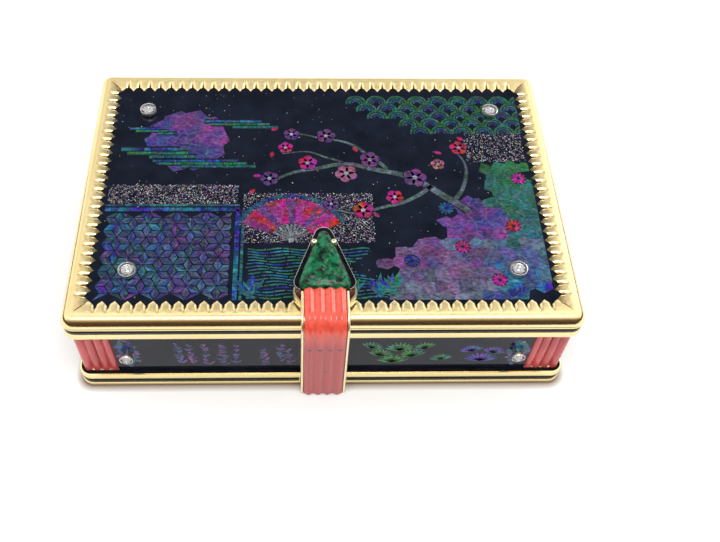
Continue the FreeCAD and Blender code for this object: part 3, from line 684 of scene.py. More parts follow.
# ---- Inlaid shell: the lid --------------------------------------------------------------------------
# A night garden in slivers of shell: rocks in the near right corner, a plum bough, a moon with cloud bars,
# a fence of hemp-leaf lattice, ruled water with bamboo grass, a folding fan, wave scales and dust of shell.

low = np.array([-(half_width - border_width) + 0.1, -(half_depth - border_width) + 0.1])
high = -low
plates = []


def lay(outline, height, colour):
    """Add a plate to the lid's picture, kept inside the teeth."""
    if outline is not None and len(outline) > 2:
        outline = trimmed(outline, low, high)
        if len(outline) > 2:
            plates.append((outline, height, colour))


def bar(x0, x1, y, half):
    """Level oblong."""
    return np.array([(x0, y - half), (x1, y - half), (x1, y + half), (x0, y + half)])


def scattered(corner_a, corner_b, spacing):
    """Points spread over a rectangle on a shaken grid."""
    xs = np.arange(corner_a[0], corner_b[0], spacing)
    ys = np.arange(corner_a[1], corner_b[1], spacing)
    grid = np.array([(x + (0.5 * spacing if j % 2 else 0), y) for j, y in enumerate(ys) for x in xs])
    return grid + dice.uniform(-0.33, 0.33, grid.shape) * spacing


# Rocks: a mosaic cut from three overlapping lumps, each with its own pair of colours, lighter at its top
rock_lumps = [((31.0, -15.5), 11.5, 9.5, mist, blue), ((19.5, -20.0), 9.5, 7.0, plum, mist),
              ((35.0, -3.5), 6.5, 9.5, green, teal), ((27.0, -8.0), 6.0, 5.0, violet, plum)]
seeds = scattered((6, -26), (40, 8), 2.2)
owner = np.full(len(seeds), -1)
for i, (centre, rx, ry, light, dark) in enumerate(rock_lumps):
    arm = (seeds - centre) / (rx, ry)
    angle = np.arctan2(arm[:, 1], arm[:, 0])
    edge = 1 + 0.14 * np.sin(3 * angle + i) + 0.09 * np.sin(7 * angle + 2 * i) + 0.06 * np.sin(12 * angle)
    owner[np.linalg.norm(arm, axis=1) < edge] = i
for cell, seed, who in zip(mosaic(seeds, 0.02), seeds, owner):
    if who < 0:
        continue
    centre, rx, ry, light, dark = rock_lumps[who]
    rise = np.clip((seed[1] - centre[1]) / ry * 0.5 + 0.5 + dice.uniform(-0.25, 0.25), 0, 1)
    lay(cell, 1.0, shade(mixed(dark, light, rise), 0.7, 1.5))

# Small flowers on the rocks
for centre in ((24.0, -13.5), (33.5, -9.0), (15.0, -16.5), (29.5, -20.5), (36.0, 2.0), (22.0, -5.0)):
    lay(disc(centre, 1.35, 14), 1.6, ink)
    for k in range(11):
        angle = k * 2 * math.pi / 11
        lay(petal(np.array(centre) + ray(angle, 0.25), angle, 1.25, 0.42), 2.4,
            shade(pink if centre[0] > 23 else blue, 0.7, 1.4))

# Moon behind cloud bars
moon = np.array([-25.0, 11.5])
seeds = np.vstack([[moon], disc(moon, 2.9, 5, 0.3), disc(moon, 5.9, 10, 0.1), disc(moon, 9.2, 14, 0.2)])
for k, (cell, seed) in enumerate(zip(mosaic(seeds, 0.02), seeds)):
    if k < 16:
        glow = np.clip(0.5 + (seed[0] - moon[0] + seed[1] - moon[1]) / 18 + dice.uniform(-0.2, 0.2), 0, 1)
        lay(cell, 1.0, shade(mixed(violet, plum, glow), 0.9, 1.6))
for x0, x1, y, thick in ((-37, -23, 8.2, 1.5), (-31, -12, 5.6, 1.1), (-36, -27, 13.8, 1.0),
                         (-22, -8, 15.6, 1.2)):
    for row in range(3):
        start = x0 + (2 - row) * 1.2 * (1 if row else 2.2)
        stop = x1 - row * 1.6
        level = y + (row - 1) * thick * 0.62
        x = start
        while x < stop:
            step = min(dice.uniform(1.3, 3.2), stop - x)
            lay(bar(x, x + step, level, thick / 2), 1.8, ink)
            lay(bar(x + 0.05, x + step - 0.05, level, 0.24 * thick), 2.4,
                shade((teal, green, blue)[row], 0.7, 1.7))
            x += step

# Hemp-leaf lattice: six rhombs to a hexagon, each split about its centre into two slivers
fence_low, fence_high = np.array([-38.3, -24.4]), np.array([-15.5, -5.5])
side = 2.9
for row in range(-1, 6):
    for column in range(-1, 6):
        centre = np.array([-38.0 + column * side * 1.732 + (0.866 * side if row % 2 else 0),
                           -24.4 + row * 1.5 * side])
        corners = disc(centre, side, 6, math.pi / 6)
        for k in range(6):
            a, b = corners[k], corners[(k + 1) % 6]
            heart = (centre + a + b) / 3
            for p, q, colour in ((centre, a, violet), (a, b, blue), (b, centre, teal)):
                tile = shrunk([p, q, heart], 0.15)
                middle = tile.mean(axis=0)
                if (middle > fence_low + 0.6).all() and (middle < fence_high - 0.6).all():
                    fade = np.clip((middle[0] - fence_low[0]) / 23, 0, 1)
                    lay(trimmed(tile, fence_low, fence_high - 0.5), 1.0,
                        shade(mixed(colour, plum, 0.35 * fade), 0.5, 1.5))
for rail in ((-38.3, -5.2, -14.6, -5.2), (-14.9, -24.4, -14.9, -5.2)):
    path = np.linspace(rail[:2], rail[2:], 22)
    beyond = path + ((0, 0.95) if rail[1] == rail[3] else (0.95, 0))
    for line, width, gap, colour in ((path, 0.85, 0.05, blue), (beyond, 0.5, 0.04, teal)):
        for quad in strip(line, np.full(22, width), gap):
            lay(quad, 1.4, shade(colour, 0.6, 1.8))

# Ruled water between the fence and the rocks: fine level lines that swell and part
for k in range(17):
    y = -23.9 + 0.62 * k
    reach = 10.5 + 3.0 * math.sin(0.5 * k) - 0.35 * k
    x = -13.2 + 0.5 * dice.uniform()
    while x < reach:
        step = dice.uniform(1.5, 4.5)
        xs = np.linspace(x, min(x + step, reach), 5)
        path = np.column_stack([xs, y + 0.22 * np.sin(xs * 0.9 + k * 0.5)])
        width = 0.3 * (0.45 + 0.55 * np.sin(np.linspace(0.35, math.pi - 0.35, 5)))
        for quad in strip(path, width):
            lay(quad, 1.0, shade((green, teal, teal, blue)[k % 4], 0.8, 1.9))
        x += step + 0.25

# Wave scales along the far side: each is three arcs about a centre, and the nearer row covers the farther
for row in range(5):
    y = 23.4 - 2.0 * row
    for column in range(-1, 12):
        centre = np.array([7.0 + column * 4.0 + (2.0 if row % 2 else 0), y - 2.0])
        if centre[0] < 6.5 + 2.2 * row or centre[0] > 39:
            continue
        lay(arc(centre, 2.08, np.linspace(0, math.pi, 11)), 1.0 + 0.5 * row, ink)
        for radius, width, colour in ((1.82, 0.42, green), (1.22, 0.36, teal), (0.66, 0.32, blue)):
            path = arc(centre, radius, np.linspace(-0.15, math.pi + 0.15, 11))
            for quad in strip(path, np.full(11, width), 0.01):
                lay(quad, 1.25 + 0.5 * row, shade(colour, 0.55, 1.5))

# Plum bough: tapered limbs of short plates, side twigs, open flowers and buds
limbs = [([(26, -6), (20, 0), (12, 4), (4, 5.5), (-4, 4), (-10, 0.5)], 1.5, 0.45),
         ([(12, 4), (8, 9), (2, 12), (-5, 13)], 0.8, 0.25),
         ([(20, 0), (14, -4), (7, -6), (1, -5.5)], 0.9, 0.28),
         ([(4, 5.5), (-1, 8.5), (-7, 8.2)], 0.55, 0.2), ([(24, -3), (27, 3), (25.5, 8.5)], 0.8, 0.3)]
for corners, thick, thin in limbs:
    path = eased(corners, 9 * (len(corners) - 1) + 1, np.ones(5) / 5)
    t = np.linspace(0, len(corners) - 1, len(path))
    path += 0.22 * np.column_stack([np.sin(t * 5.1), np.cos(t * 4.3)])
    widths = np.linspace(thick, thin, len(path))
    for quad in strip(path, widths + 0.35):
        lay(quad, 2.0, ink)
    for quad in strip(path, widths, 0.025):
        lay(quad, 2.6, shade(mixed(mist, moss, dice.uniform()), 0.5, 1.5))
flowers = [(17, 2.2, 2.3), (9, 6.6, 2.0), (4.5, 3.2, 2.2), (-2.5, 5.8, 1.9), (-9.5, 2.0, 1.8),
           (1.0, 12.6, 1.9), (-5.5, 13.0, 1.6), (7.2, -5.4, 2.0), (1.6, -4.0, 1.5), (-6.6, 9.6, 1.5),
           (25.8, 9.6, 1.8), (13, -2.4, 1.7), (21.5, 5.5, 1.4)]
for x, y, size in flowers:
    turn = dice.uniform(0, 2)
    hue = (pink, plum, pink, mixed(pink, silver, 0.35))[dice.integers(4)]
    for k in range(5):
        angle = turn + k * 2 * math.pi / 5
        heart = np.array([x, y]) + ray(angle, 0.52 * size)
        lay(disc(heart, 0.5 * size, 12), 3.0, ink)
        lay(disc(heart, 0.43 * size, 12), 3.6, shade(hue, 0.75, 1.3))
    lay(disc((x, y), 0.2 * size, 10), 4.2, shade(silver, 1.0, 1.6))
for x, y in ((-12, -0.6), (-11, 2.6), (6, 9.8), (-9, 8.6), (-8, 14.6), (-1, -6.4), (10, -7), (27, 11.6),
             (22.5, 8)):
    lay(petal(np.array([x, y]), dice.uniform(0, 6), 1.5, 0.8), 3.4, shade(pink, 0.7, 1.3))

# Folding fan, open over a ground of dust: leaves in two tones, ribs to the rivet, and a narrow rim
foot, leaves = np.array([-5.5, -12.0]), 11
for k in range(leaves):
    a0, a1 = (math.radians(22 + 136 * (k + i) / leaves) for i in (0.03, 0.97))
    for r0, r1, first, second in ((3.6, 9.3, pink, plum), (9.5, 10.3, teal, blue)):
        leaf = [foot + ray(a, r) for r, a in ((r0, a0), (r1, a0), (r1, a1), (r0, a1))]
        lay(np.array(leaf), 2.2, shade(mixed(first, second, (k % 3) / 2), 0.75, 1.25))
    rib = [foot + ray((a0 + a1) / 2, r) for r in (0.3, 3.5)]
    lay(strip(rib, [0.16, 0.42])[0], 2.2, shade(silver, 0.5, 0.9))
lay(disc(foot, 0.5, 12), 2.8, silver)

# Bamboo grass by the water's edge
for x, y, lean in ((11.5, -23.5, 0.2), (9.0, -24.0, -0.1), (-12.2, -24.2, 0.15), (4.0, -24.3, 0.0)):
    for k in range(7):
        angle = math.pi / 2 + lean + (k - 3) * 0.27
        lay(petal(np.array([x, y]) + (0.28 * (k - 3), 0), angle, dice.uniform(3.2, 5.4), 0.85), 3.0 + 0.1 * k,
            shade((teal, green, blue)[k % 3], 0.9, 2.0))

# Dust of shell over the ground between the fence and the bough, and thinly everywhere
specks = (silver, mixed(pink, silver, 0.7), mixed(green, silver, 0.5), (0.45, 0.38, 0.25), plum)
for count, (x0, x1), (y0, y1) in ((3600, (-14, 9), (-12.6, -1.5)), (1600, (-38, -15), (-4.2, 0.5)),
                                  (900, (27, 38), (6, 14)), (350, (-38, 38), (-24, 24))):
    for x, y in np.column_stack([dice.uniform(x0, x1, count), dice.uniform(y0, y1, count)]):
        hue = specks[dice.integers(5)]
        lay(disc((x, y), dice.uniform(0.06, 0.15), 3, dice.uniform(0, 2)), 0.6, shade(hue, 0.7, 3.4))

inlay("lid_inlay", plates, "lid", (0, 0, lacquer_top), (1, 0, 0), (0, 1, 0), (0, 0, 1))


# ---- Inlaid shell: the sides ------------------------------------------------------------------------
# Quieter work on the upright panels: pine fans on one half of the front, drifting sprigs on the other,
# clusters beside the corners, and a few leaves on the ends and the back.

panel_end = body_x - face_width - 0.1
panel_rise = (deck_bottom - body_bottom) / 2 - 0.2


def fan(plates, x, y, turn, size, colour):
    """Half round of needles about a foot."""
    for k in range(9):
        angle = turn + math.pi / 2 + (k - 4) * 0.3
        plates.append((petal(np.array([x, y]), angle, size, 0.2 * size, 5), 2.0, shade(colour, 1.0, 2.4)))


def sprig(plates, x, y, tall, first, second):
    """Upright stem with small leaves in loose pairs, dwindling toward its tip."""
    steps = int(tall / 0.8)
    lean = dice.uniform(-0.12, 0.12)
    for k in range(steps):
        level = y + k * 0.8
        foot = x + lean * k * 0.8
        stem = strip([(foot, level), (foot + 0.8 * lean, level + 0.75)], [0.15, 0.13])[0]
        plates.append((stem, 1.4, shade(first)))
        for side in (-1, 1):
            if dice.uniform() < 0.82:
                angle = math.pi / 2 - side * dice.uniform(0.35, 0.95)
                size = (1.5 - 0.8 * k / steps) * dice.uniform(0.7, 1.25)
                root = np.array([foot, level + dice.uniform(-0.2, 0.3)])
                plates.append((petal(root, angle, size, 0.42 * dice.uniform(0.8, 1.3), 5), 1.8,
                               shade(mixed(first, second, dice.uniform()), 0.9, 2.4)))


def cluster(plates, x, y, wide, tall, colours):
    """Patch of broken shell."""
    seeds = scattered((x - wide, y - tall), (x + wide, y + tall), 0.75)
    for cell, seed in zip(mosaic(seeds, 0.03), seeds):
        if abs((seed[0] - x) / wide) ** 2 + abs((seed[1] - y) / tall) ** 2 < dice.uniform(0.5, 1.0):
            kept = np.clip(cell, np.maximum(seed - 0.7, (-panel_end, -panel_rise)),
                           np.minimum(seed + 0.7, (panel_end, panel_rise)))
            plates.append((kept, 1.2, shade(colours[dice.integers(len(colours))], 0.7, 1.9)))


middle_z = (body_bottom + deck_bottom) / 2
tall = (deck_bottom - body_bottom) / 2 - 0.5
for name, side in (("front_left", -1), ("front_right", 1)):
    plates = []
    if side < 0:
        cluster(plates, -panel_end + 2.2, 0.2, 2.0, tall - 0.4, (blue, teal, violet, plum))
        for x in (-24.5, -22.4, -20.0, -17.6, -15.4, -9.8, -7.4, -5.6):
            sprig(plates, x + dice.uniform(-0.3, 0.3), -3.6 + dice.uniform(-0.6, 0.8), dice.uniform(5.5, 8.0),
                  mixed(violet, ink, 0.3), mixed(plum, ink, 0.2))
    else:
        cluster(plates, panel_end - 2.2, 0.0, 2.0, tall - 0.4, (blue, teal, violet))
        for x, y, turn, size in ((12, -3.5, 0, 3.0), (15.5, -1.5, 0.3, 2.8), (9.6, -1.2, -0.3, 2.6),
                                 (13.0, 0.6, 0, 2.9), (17.5, 1.2, 0.5, 2.4), (8.0, 1.4, -0.5, 2.3),
                                 (20.6, -2.6, 0.2, 2.2), (27.5, -3.2, 0, 3.2), (29.2, -0.4, -0.3, 2.4),
                                 (25.6, 0.2, 0.3, 2.3)):
            fan(plates, x, y, turn, size, green if x < 24 else mixed(blue, violet, 0.5))
    inlay("inlay_" + name, plates, "case", (0, -body_y, middle_z), (1, 0, 0), (0, 0, 1), (0, -1, 0))
for name, side in (("left", -1), ("right", 1)):
    plates = []
    cluster(plates, -17.0, 0.0, 2.4, tall - 0.8, (blue, teal, violet))
    cluster(plates, 16.5, -1.0, 2.6, tall - 1.6, (plum, violet, teal))
    for x in (-9.5, -6.2, -3.0, 1.2, 4.4, 8.5):
        sprig(plates, x, -4.0 + dice.uniform(-0.3, 0.6), dice.uniform(5.0, 8.0), teal, green)
    inlay("inlay_" + name, plates, "case", (side * body_x, 0, middle_z), (0, side, 0), (0, 0, 1), (side, 0, 0))
plates = []
for x in (-30, -21, -12.5, 12.5, 21, 30):
    fan(plates, x, -4.2, 0, 3.0, teal)
    fan(plates, x + 2.4, -3.0, 0.4, 2.4, green)
for x in (-25.5, -16.5, -4.0, 0.0, 4.0, 16.5, 25.5):
    sprig(plates, x, -4.6, 5.5, mixed(violet, ink, 0.2), plum)
inlay("inlay_back", plates, "case", (0, body_y, middle_z), (-1, 0, 0), (0, 0, 1), (0, 1, 0))


# ---- Diamonds and their collets ---------------------------------------------------------------------
# Small round brilliants in plain white-metal cups: four on the lid and two on every upright face.  Crown
# facets are the eight-fold brilliant's: table, stars, bezels and paired girdle facets over a pointed back.

white_metal = mottled("white_metal", (800.0,), (0.50, 0.49, 0.48), (0.72, 0.71, 0.70), (2400.0, 0.14, 0.3),
                      Metallic=1.0)
diamond = mottled("diamond", (600.0,), (0.93, 0.95, 1.0), (1.0, 1.0, 1.0), Roughness=0.02, IOR=2.2,
                  Transmission_Weight=0.75)


def brilliant(radius, crown, depth):
    """Round brilliant with its girdle at height 0 and its table at height crown."""
    points = np.vstack([level_ring(disc((0, 0), radius, 16), 0.0),
                        level_ring(disc((0, 0), 0.80 * radius, 8, math.pi / 8), 0.62 * crown),
                        level_ring(disc((0, 0), 0.56 * radius, 8), crown), (0, 0, -depth)])
    faces = [list(range(24, 32))]
    for k in range(8):
        faces.append([24 + k, 16 + k, 24 + (k + 1) % 8])
        faces.append([24 + k, 16 + (k - 1) % 8, 2 * k, 16 + k])
        faces.append([16 + k, 2 * k, 2 * k + 1])
        faces.append([16 + k, 2 * k + 1, (2 * k + 2) % 16])
    faces += [[32, (k + 1) % 16, k] for k in range(16)]
    return points, faces


def lathe(profile, steps=40):
    """Body of revolution round +Z from (radius, height) pairs, closed by flat caps."""
    return swept([level_ring(disc((0, 0), r, steps), z) for r, z in profile])


def set_on(shape, foot, outward):
    """Body moved from the origin's +Z to a foot and an outward direction."""
    turn = np.array(Vector(outward).to_track_quat("Z", "X").to_matrix())
    return facing_out(np.asarray(shape[0]) @ turn.T + np.array(foot), shape[1])


def collet_shape(radius, height, stub):
    """Cup on a stub: a soft outer lip, a bright inner bevel and a dark floor."""
    return lathe([(stub, 0.0), (stub, height - 1.0 if height > 1.0 else 0.02), (radius - 0.12, height - 0.85),
                  (radius, height - 0.7), (radius, height - 0.12), (radius - 0.06, height - 0.02),
                  (radius - 0.14, height), (radius - 0.2, height - 0.08), (radius - 0.24, height - 0.5),
                  (0.05, height - 0.6)])


lid_cup, side_cup = 1.55, 1.2
lid_gem_x, lid_gem_y = box_mm("lid_collets")[1][:2] - lid_cup
side_gem_x, side_gem_y = half_width - 9.4, half_depth - 9.4
lid_places, side_places = [], []
for sx in (-1, 1):
    for sy in (-1, 1):
        lid_places.append(((sx * lid_gem_x, sy * lid_gem_y, lacquer_top), (0, 0, 1)))
        side_places.append(((sx * side_gem_x, sy * body_y, middle_z), (0, sy, 0)))
        side_places.append(((sx * body_x, sy * side_gem_y, middle_z), (sx, 0, 0)))
for group, places, body, radius, height, stub in (("lid", lid_places, "lid", lid_cup, 1.0, 1.25),
                                                  ("side", side_places, "case", side_cup, 1.4, 0.7)):
    cups = [set_on(collet_shape(radius, height, stub), foot, out) for foot, out in places]
    gems = [set_on(brilliant(0.64 * radius, 0.36, 0.34), np.array(foot) + (height - 0.2) * np.array(out), out)
            for foot, out in places]
    new_piece(group + "_cups", joined(cups), body, white_metal, instead=group + "_collets")
    new_piece(group + "_brilliants", joined(gems), body, diamond, 0.0, group + "_diamonds")


# ---- Coral strap ------------------------------------------------------------------------------------
# A reeded coral bar laid in the clasp's strap: it climbs the front, turns over the lid's edge in a quarter
# round and runs in to the head.  A faint joint crosses it in the valleys, and its upright stretch is painted
# darker as shade, for less light on the front than on the top.

strap_low, strap_high = box_mm("coral_strap")
head_front = strap_high[1]
coral_half = strap_high[0]
strap_face = box_mm("clasp_bracket")[0][1] + 1.5
strap_under = box_mm("head_line")[0][2] - 0.6
strap_bend = 1.3
coral_crest = strap_high[2] - strap_under
reed_wide = 2 * coral_half / 4
joint_height, pit_height = 16.0, 8.4
front_shade_foot, front_shade_top = 16.5, 20.5


def strap_path(x, above, foot, stop):
    """Rows of points that follow the strap's bend; x across it and above its inner face, per point."""
    x, above = np.asarray(x, float), np.asarray(above, float)
    centre_y, centre_z = strap_face + strap_bend, strap_under - strap_bend
    rows = []
    for z in np.linspace(foot, centre_z, 8)[:-1]:
        rows.append(level_ring(np.column_stack([x, strap_face - above]), z))
    for turn in np.linspace(0, math.pi / 2, 18):
        reach = strap_bend + above
        rows.append(np.column_stack([x, centre_y - reach * math.cos(turn), centre_z + reach * math.sin(turn)]))
    for y in np.linspace(centre_y, stop, 4)[1:]:
        rows.append(np.column_stack([x, np.full(len(x), y), strap_under + above]))
    return rows


def reeded_section():
    """Across the bar: four reeds, each a shallow arc, over a flat back."""
    x, above, dent = [], [], []
    for reed in range(4):
        for u in np.linspace(-1, 1, 13)[(0 if reed == 0 else 1):]:
            x.append(-coral_half + (reed + 0.5 + 0.5 * u) * reed_wide)
            above.append(coral_crest - 0.17 * (1 - math.cos(math.pi * u)))
            dent.append(abs(u) ** 2.5)
    return x + [coral_half, -coral_half], above + [0.65, 0.65], dent + [0, 0]


across, above, dent = reeded_section()
strap_rows = strap_path(across, above, strap_low[2], head_front)
strap_coral = coral_finish("strap_coral", (0.80, 0.100, 0.056), (0.64, 0.060, 0.040), (2.6, 2.6, 0.2))
tree = strap_coral.node_tree
shader = tree.nodes["Principled BSDF"]
valley = add(tree, "ShaderNodeAttribute", attribute_name="dent").outputs["Fac"]
place, rise = object_place(tree), object_height(tree)
off_joint = worked(tree, "ABSOLUTE", worked(tree, "SUBTRACT", rise, joint_height * mm))
joint = worked(tree, "MULTIPLY", spread(tree, off_joint, 1.0, 0.0, 0.14 * mm, 0.26 * mm),
               spread(tree, valley, 1.0, 0.0, 0.08, 0.3))
pit_place = 0.2 * mm, strap_low[1] * mm, pit_height * mm
pit = add(tree, "ShaderNodeVectorMath", place, pit_place, operation="DISTANCE")
marks = worked(tree, "MAXIMUM", joint, spread(tree, pit.outputs["Value"], 0.8, 0.0, 0.2 * mm, 0.5 * mm))
# Painted shade: below the bend the colour falls to a dull dark red, for the front getting less light than the
# top.
painted_front_shade = blend(tree, spread(tree, rise, 0.9, 0.0, front_shade_foot * mm, front_shade_top * mm),
             source(shader, "Base Color"), (0.42, 0.026, 0.028))
dress(tree, shader, Specular_IOR_Level=0.3, Coat_Weight=0.6, Coat_Roughness=0.03,
      Base_Color=blend(tree, marks, painted_front_shade, (0.07, 0.010, 0.012)))
coral_reeds = new_piece("coral_reeds", swept(strap_rows), "clasp", strap_coral, 60.0, "coral_strap")
point_layer(coral_reeds, "dent", "FLOAT", np.tile(dent, len(strap_rows)))


# ---- Clasp: gold frame ------------------------------------------------------------------------------
# One gold bracket: a flat arm that runs in under the case, the strap with a bright rounded rail along each
# edge of the coral, and the head's plate with a thin raised lip that the black enamel is fired against.

clasp_gold = gold_finish("clasp_gold", (0.98, 0.88, 0.60), (0.95, 0.82, 0.50), 0.3, relief=0.02)
bracket_foot = box_mm("clasp_bracket")[0][2]
head_line_low, head_line_high = box_mm("head_line")
head_front = strap_high[1] - 0.5
head_back = head_line_high[1] + 0.75
head_half, head_round = 5.15, 1.6
plate_top = head_line_low[2]
lip_top = head_line_high[2] + 0.08
rail_out, rail_in, rail_top = 3.95, coral_half + 0.06, 1.5


def rail(side):
    """Across one rail: straight sides and a half-round top, from the backing up."""
    middle, half = (rail_out + rail_in) / 2, (rail_out - rail_in) / 2
    turn = np.linspace(0, math.pi, 9)
    return [(side * (middle + half * math.cos(t)), rail_top - half + half * math.sin(t)) for t in turn]


section = [(-rail_out, 0.0), (rail_out, 0.0)] + rail(1) + [(rail_in, 0.6), (-rail_in, 0.6)] + rail(-1)[::-1]
x, above = np.array(section).T
strap_body = swept(strap_path(x, above, bracket_foot, head_front - 0.3))
tongue = [(-rail_out, 0.0), (rail_out, 0.0), (rail_out, 0.6), (-rail_out, 0.6)]
x, above = np.array(tongue).T
tongue_body = swept([np.column_stack([x, np.full(4, y), strap_under + above])
                     for y in (head_front - 0.3, head_front + 1)])

arm_half = -arm_low[0]
arm_z0, arm_z1 = 0.7, 3.3
arm_notch = 0.35
arm_inside = 0.6
slot_y0, slot_y1, arm_tip = strap_face + 6.85, strap_face + 23.05, strap_face + 24.1


def arm_flank(cut):
    """One side of the arm's section, with a groove of some depth where the black line lies."""
    z0, z1 = arm_low[2], arm_high[2]
    return [(arm_half, arm_z0), (arm_half, z0), (arm_half - cut, z0), (arm_half - cut, z1), (arm_half, z1),
            (arm_half, arm_z1)]


def arm_solid(y0, y1, cut):
    """Stretch of the arm at its full width."""
    flank = arm_flank(cut)
    return swept([[(x, y, z) for x, z in flank + [(-x, z) for x, z in flank[::-1]]] for y in (y0, y1)])


arm_front = arm_solid(strap_face - 0.3, slot_y0, arm_notch)
arm_bars = []
for side in (-1, 1):
    for y0, y1, cut in ((slot_y0, arm_high[1], arm_notch), (arm_high[1], slot_y1, 0.0)):
        section = [(arm_inside, arm_z0)] + arm_flank(cut) + [(arm_inside, arm_z1)]
        arm_bars.append(swept([[(side * x, y, z) for x, z in section] for y in (y0, y1)]))
arm_end = arm_solid(slot_y1, arm_tip, 0.0)


def head_outline(inset, straight=9):
    """Rounded triangle of the clasp's head, its broad side to the front, drawn in by inset."""
    corners = np.array([(-(head_half - head_round), head_front + head_round),
                        (head_half - head_round, head_front + head_round), (0.0, head_back - head_round)])
    points = []
    for i in range(3):
        here, after = corners[i], corners[(i + 1) % 3]
        before = here - corners[i - 1]
        along = after - here
        first = math.atan2(-before[0], before[1])
        last = math.atan2(-along[0], along[1])
        if last < first:
            last += 2 * math.pi
        reach = head_round - inset
        points += list(arc(here, reach, np.linspace(first, last, 8)))
        out = np.array([along[1], -along[0]]) / np.linalg.norm(along)
        points += [here + along * t + out * reach for t in np.linspace(0, 1, straight + 2)[1:-1]]
    return np.array(points)


def open_rim(section):
    """Band round the head's edge with a gap at the front for the strap; section holds (inset, height)."""
    rim = head_outline(0, 40)
    gap = (np.abs(rim[:, 0]) < rail_out) & (rim[:, 1] < head_front + 1.7)
    start = np.flatnonzero(gap & ~np.roll(gap, -1))[0] + 1
    kept = int((~gap).sum())
    runs = [level_ring(np.roll(head_outline(i, 40), -start, axis=0)[:kept], z) for i, z in section]
    return swept(np.transpose(runs, (1, 0, 2)))


plate = swept([level_ring(head_outline(i), z) for i, z in ((0.12, strap_under), (0.0, strap_under + 0.12),
                                                          (0.0, plate_top - 0.05), (0.05, plate_top))])
lip = open_rim([(0.0, plate_top - 0.05), (0.0, lip_top - 0.1), (0.02, lip_top - 0.02), (0.06, lip_top),
                (0.1, lip_top - 0.02), (0.12, lip_top - 0.1), (0.12, plate_top - 0.05)])
inner_lip = open_rim([(0.84, plate_top - 0.05), (0.84, lip_top - 0.08), (0.87, lip_top), (0.92, lip_top - 0.04),
                      (0.94, plate_top - 0.05)])
new_piece("clasp_frame", joined([strap_body, tongue_body, arm_front, *arm_bars, arm_end, plate]),
          "clasp", clasp_gold, 40.0, "clasp_bracket")
new_piece("head_lips", joined([lip, inner_lip]), "clasp", white_metal, 50.0)
head_band = open_rim([(0.08, plate_top - 0.05), (0.11, lip_top - 0.14), (0.5, lip_top - 0.08),
                      (0.85, lip_top - 0.14), (0.89, plate_top - 0.05)])
new_piece("head_enamel", head_band, "clasp", enamel, instead="head_line")
ears, webs = [], []
for side in (-1, 1):
    bend = [(4.95, 0.5), (5.06, -0.1), (5.0, -0.75), (4.72, -1.4), (4.3, -2.0), (3.92, -2.5)]
    path = np.array([(side * x, head_front + y) for x, y in bend])
    out = beside(path) * np.array([0.16, 0.2, 0.24, 0.26, 0.24, 0.18])[:, None]
    rows = []
    for shift, z in ((-1, strap_under - 0.05), (-1, lip_top - 0.12), (-0.5, lip_top + 0.05),
                     (0.5, lip_top + 0.05), (1, lip_top - 0.12), (1, strap_under - 0.05)):
        rows.append(level_ring(path + shift * out, z))
    ears.append(swept(np.transpose(rows, (1, 0, 2))))
    sheet = np.vstack([path, [(side * 3.8, head_front - 2.5), (side * 3.8, head_front + 0.5)]])
    webs.append(swept([level_ring(sheet, strap_under), level_ring(sheet, plate_top - 0.1)]))
new_piece("head_ears", joined(ears), "clasp", clasp_gold, 50.0, "head_scrolls")
# Dark enamel webs inside the ears, tinted deep red as a painted reflection of the coral.
dark_enamel_and_painted_coral_reflection = mottled("dark_enamel_and_painted_coral_reflection", (1500.0,), (0.030, 0.004, 0.003), (0.100, 0.014, 0.008),
                        (2600.0, 0.12, 0.3), ((1400.0,), 0.3, 0.00005))
new_piece("head_ear_enamel_and_reflection", joined(webs), "clasp", dark_enamel_and_painted_coral_reflection)
grain_x, grain_y = 1.66, box_mm("head_prongs")[0][1] + 0.3
grains = []
for side in (-1, 1):
    rows = [level_ring(disc((0, 0), half * 1.3, 8, math.pi / 8), z) + (side * grain_x, grain_y, plate_top)
            for half, z in ((0.4, 0.6), (0.4, 1.75), (0.33, 1.92), (0.18, 2.0))]
    grains.append(swept(rows))
new_piece("head_grains", joined(grains), "clasp", clasp_gold, 60.0, "head_prongs")


# ---- Emerald ----------------------------------------------------------------------------------------
# A carved emerald, a rounded triangle in plan: it rises steeply from its setting, breaks into worn ridges
# and hollows, and rounds over to a broad top.  Its green is mottled, with inclusions.

emerald, tree, shader = finish("emerald")
mottle = ramp(tree, noise(tree, 900.0, 7.0), [(0.36, (0.0005, 0.008, 0.004)), (0.47, (0.001, 0.050, 0.018)),
                                             (0.58, (0.003, 0.125, 0.045)), (0.72, (0.012, 0.200, 0.090))])
dress(tree, shader, Base_Color=mottle, Roughness=spread(tree, noise(tree, 1900.0), 0.03, 0.12), IOR=1.5,
      Specular_IOR_Level=0.3, Subsurface_Weight=0.2, Subsurface_Radius=(0.0002, 0.0010, 0.0005))
bump(tree, shader, noise(tree, 1300.0, 6.0), 0.8, 0.0002)

stone_low, stone_high = (corner[2] for corner in box_mm("emerald"))


def wrinkle(x, y):
    """Worn carving, -1 to 1: crossing sets of soft ridges."""
    broad = 0.45 * np.sin(2.1 * x + 1.3 * y) * np.sin(1.7 * y - 0.9 * x + 1)
    return broad + 0.35 * np.sin(3.9 * x - 2.2 * y + 2) * np.cos(3.1 * y + 0.5) + 0.2 * np.sin(6.3 * x + 5.1 * y)


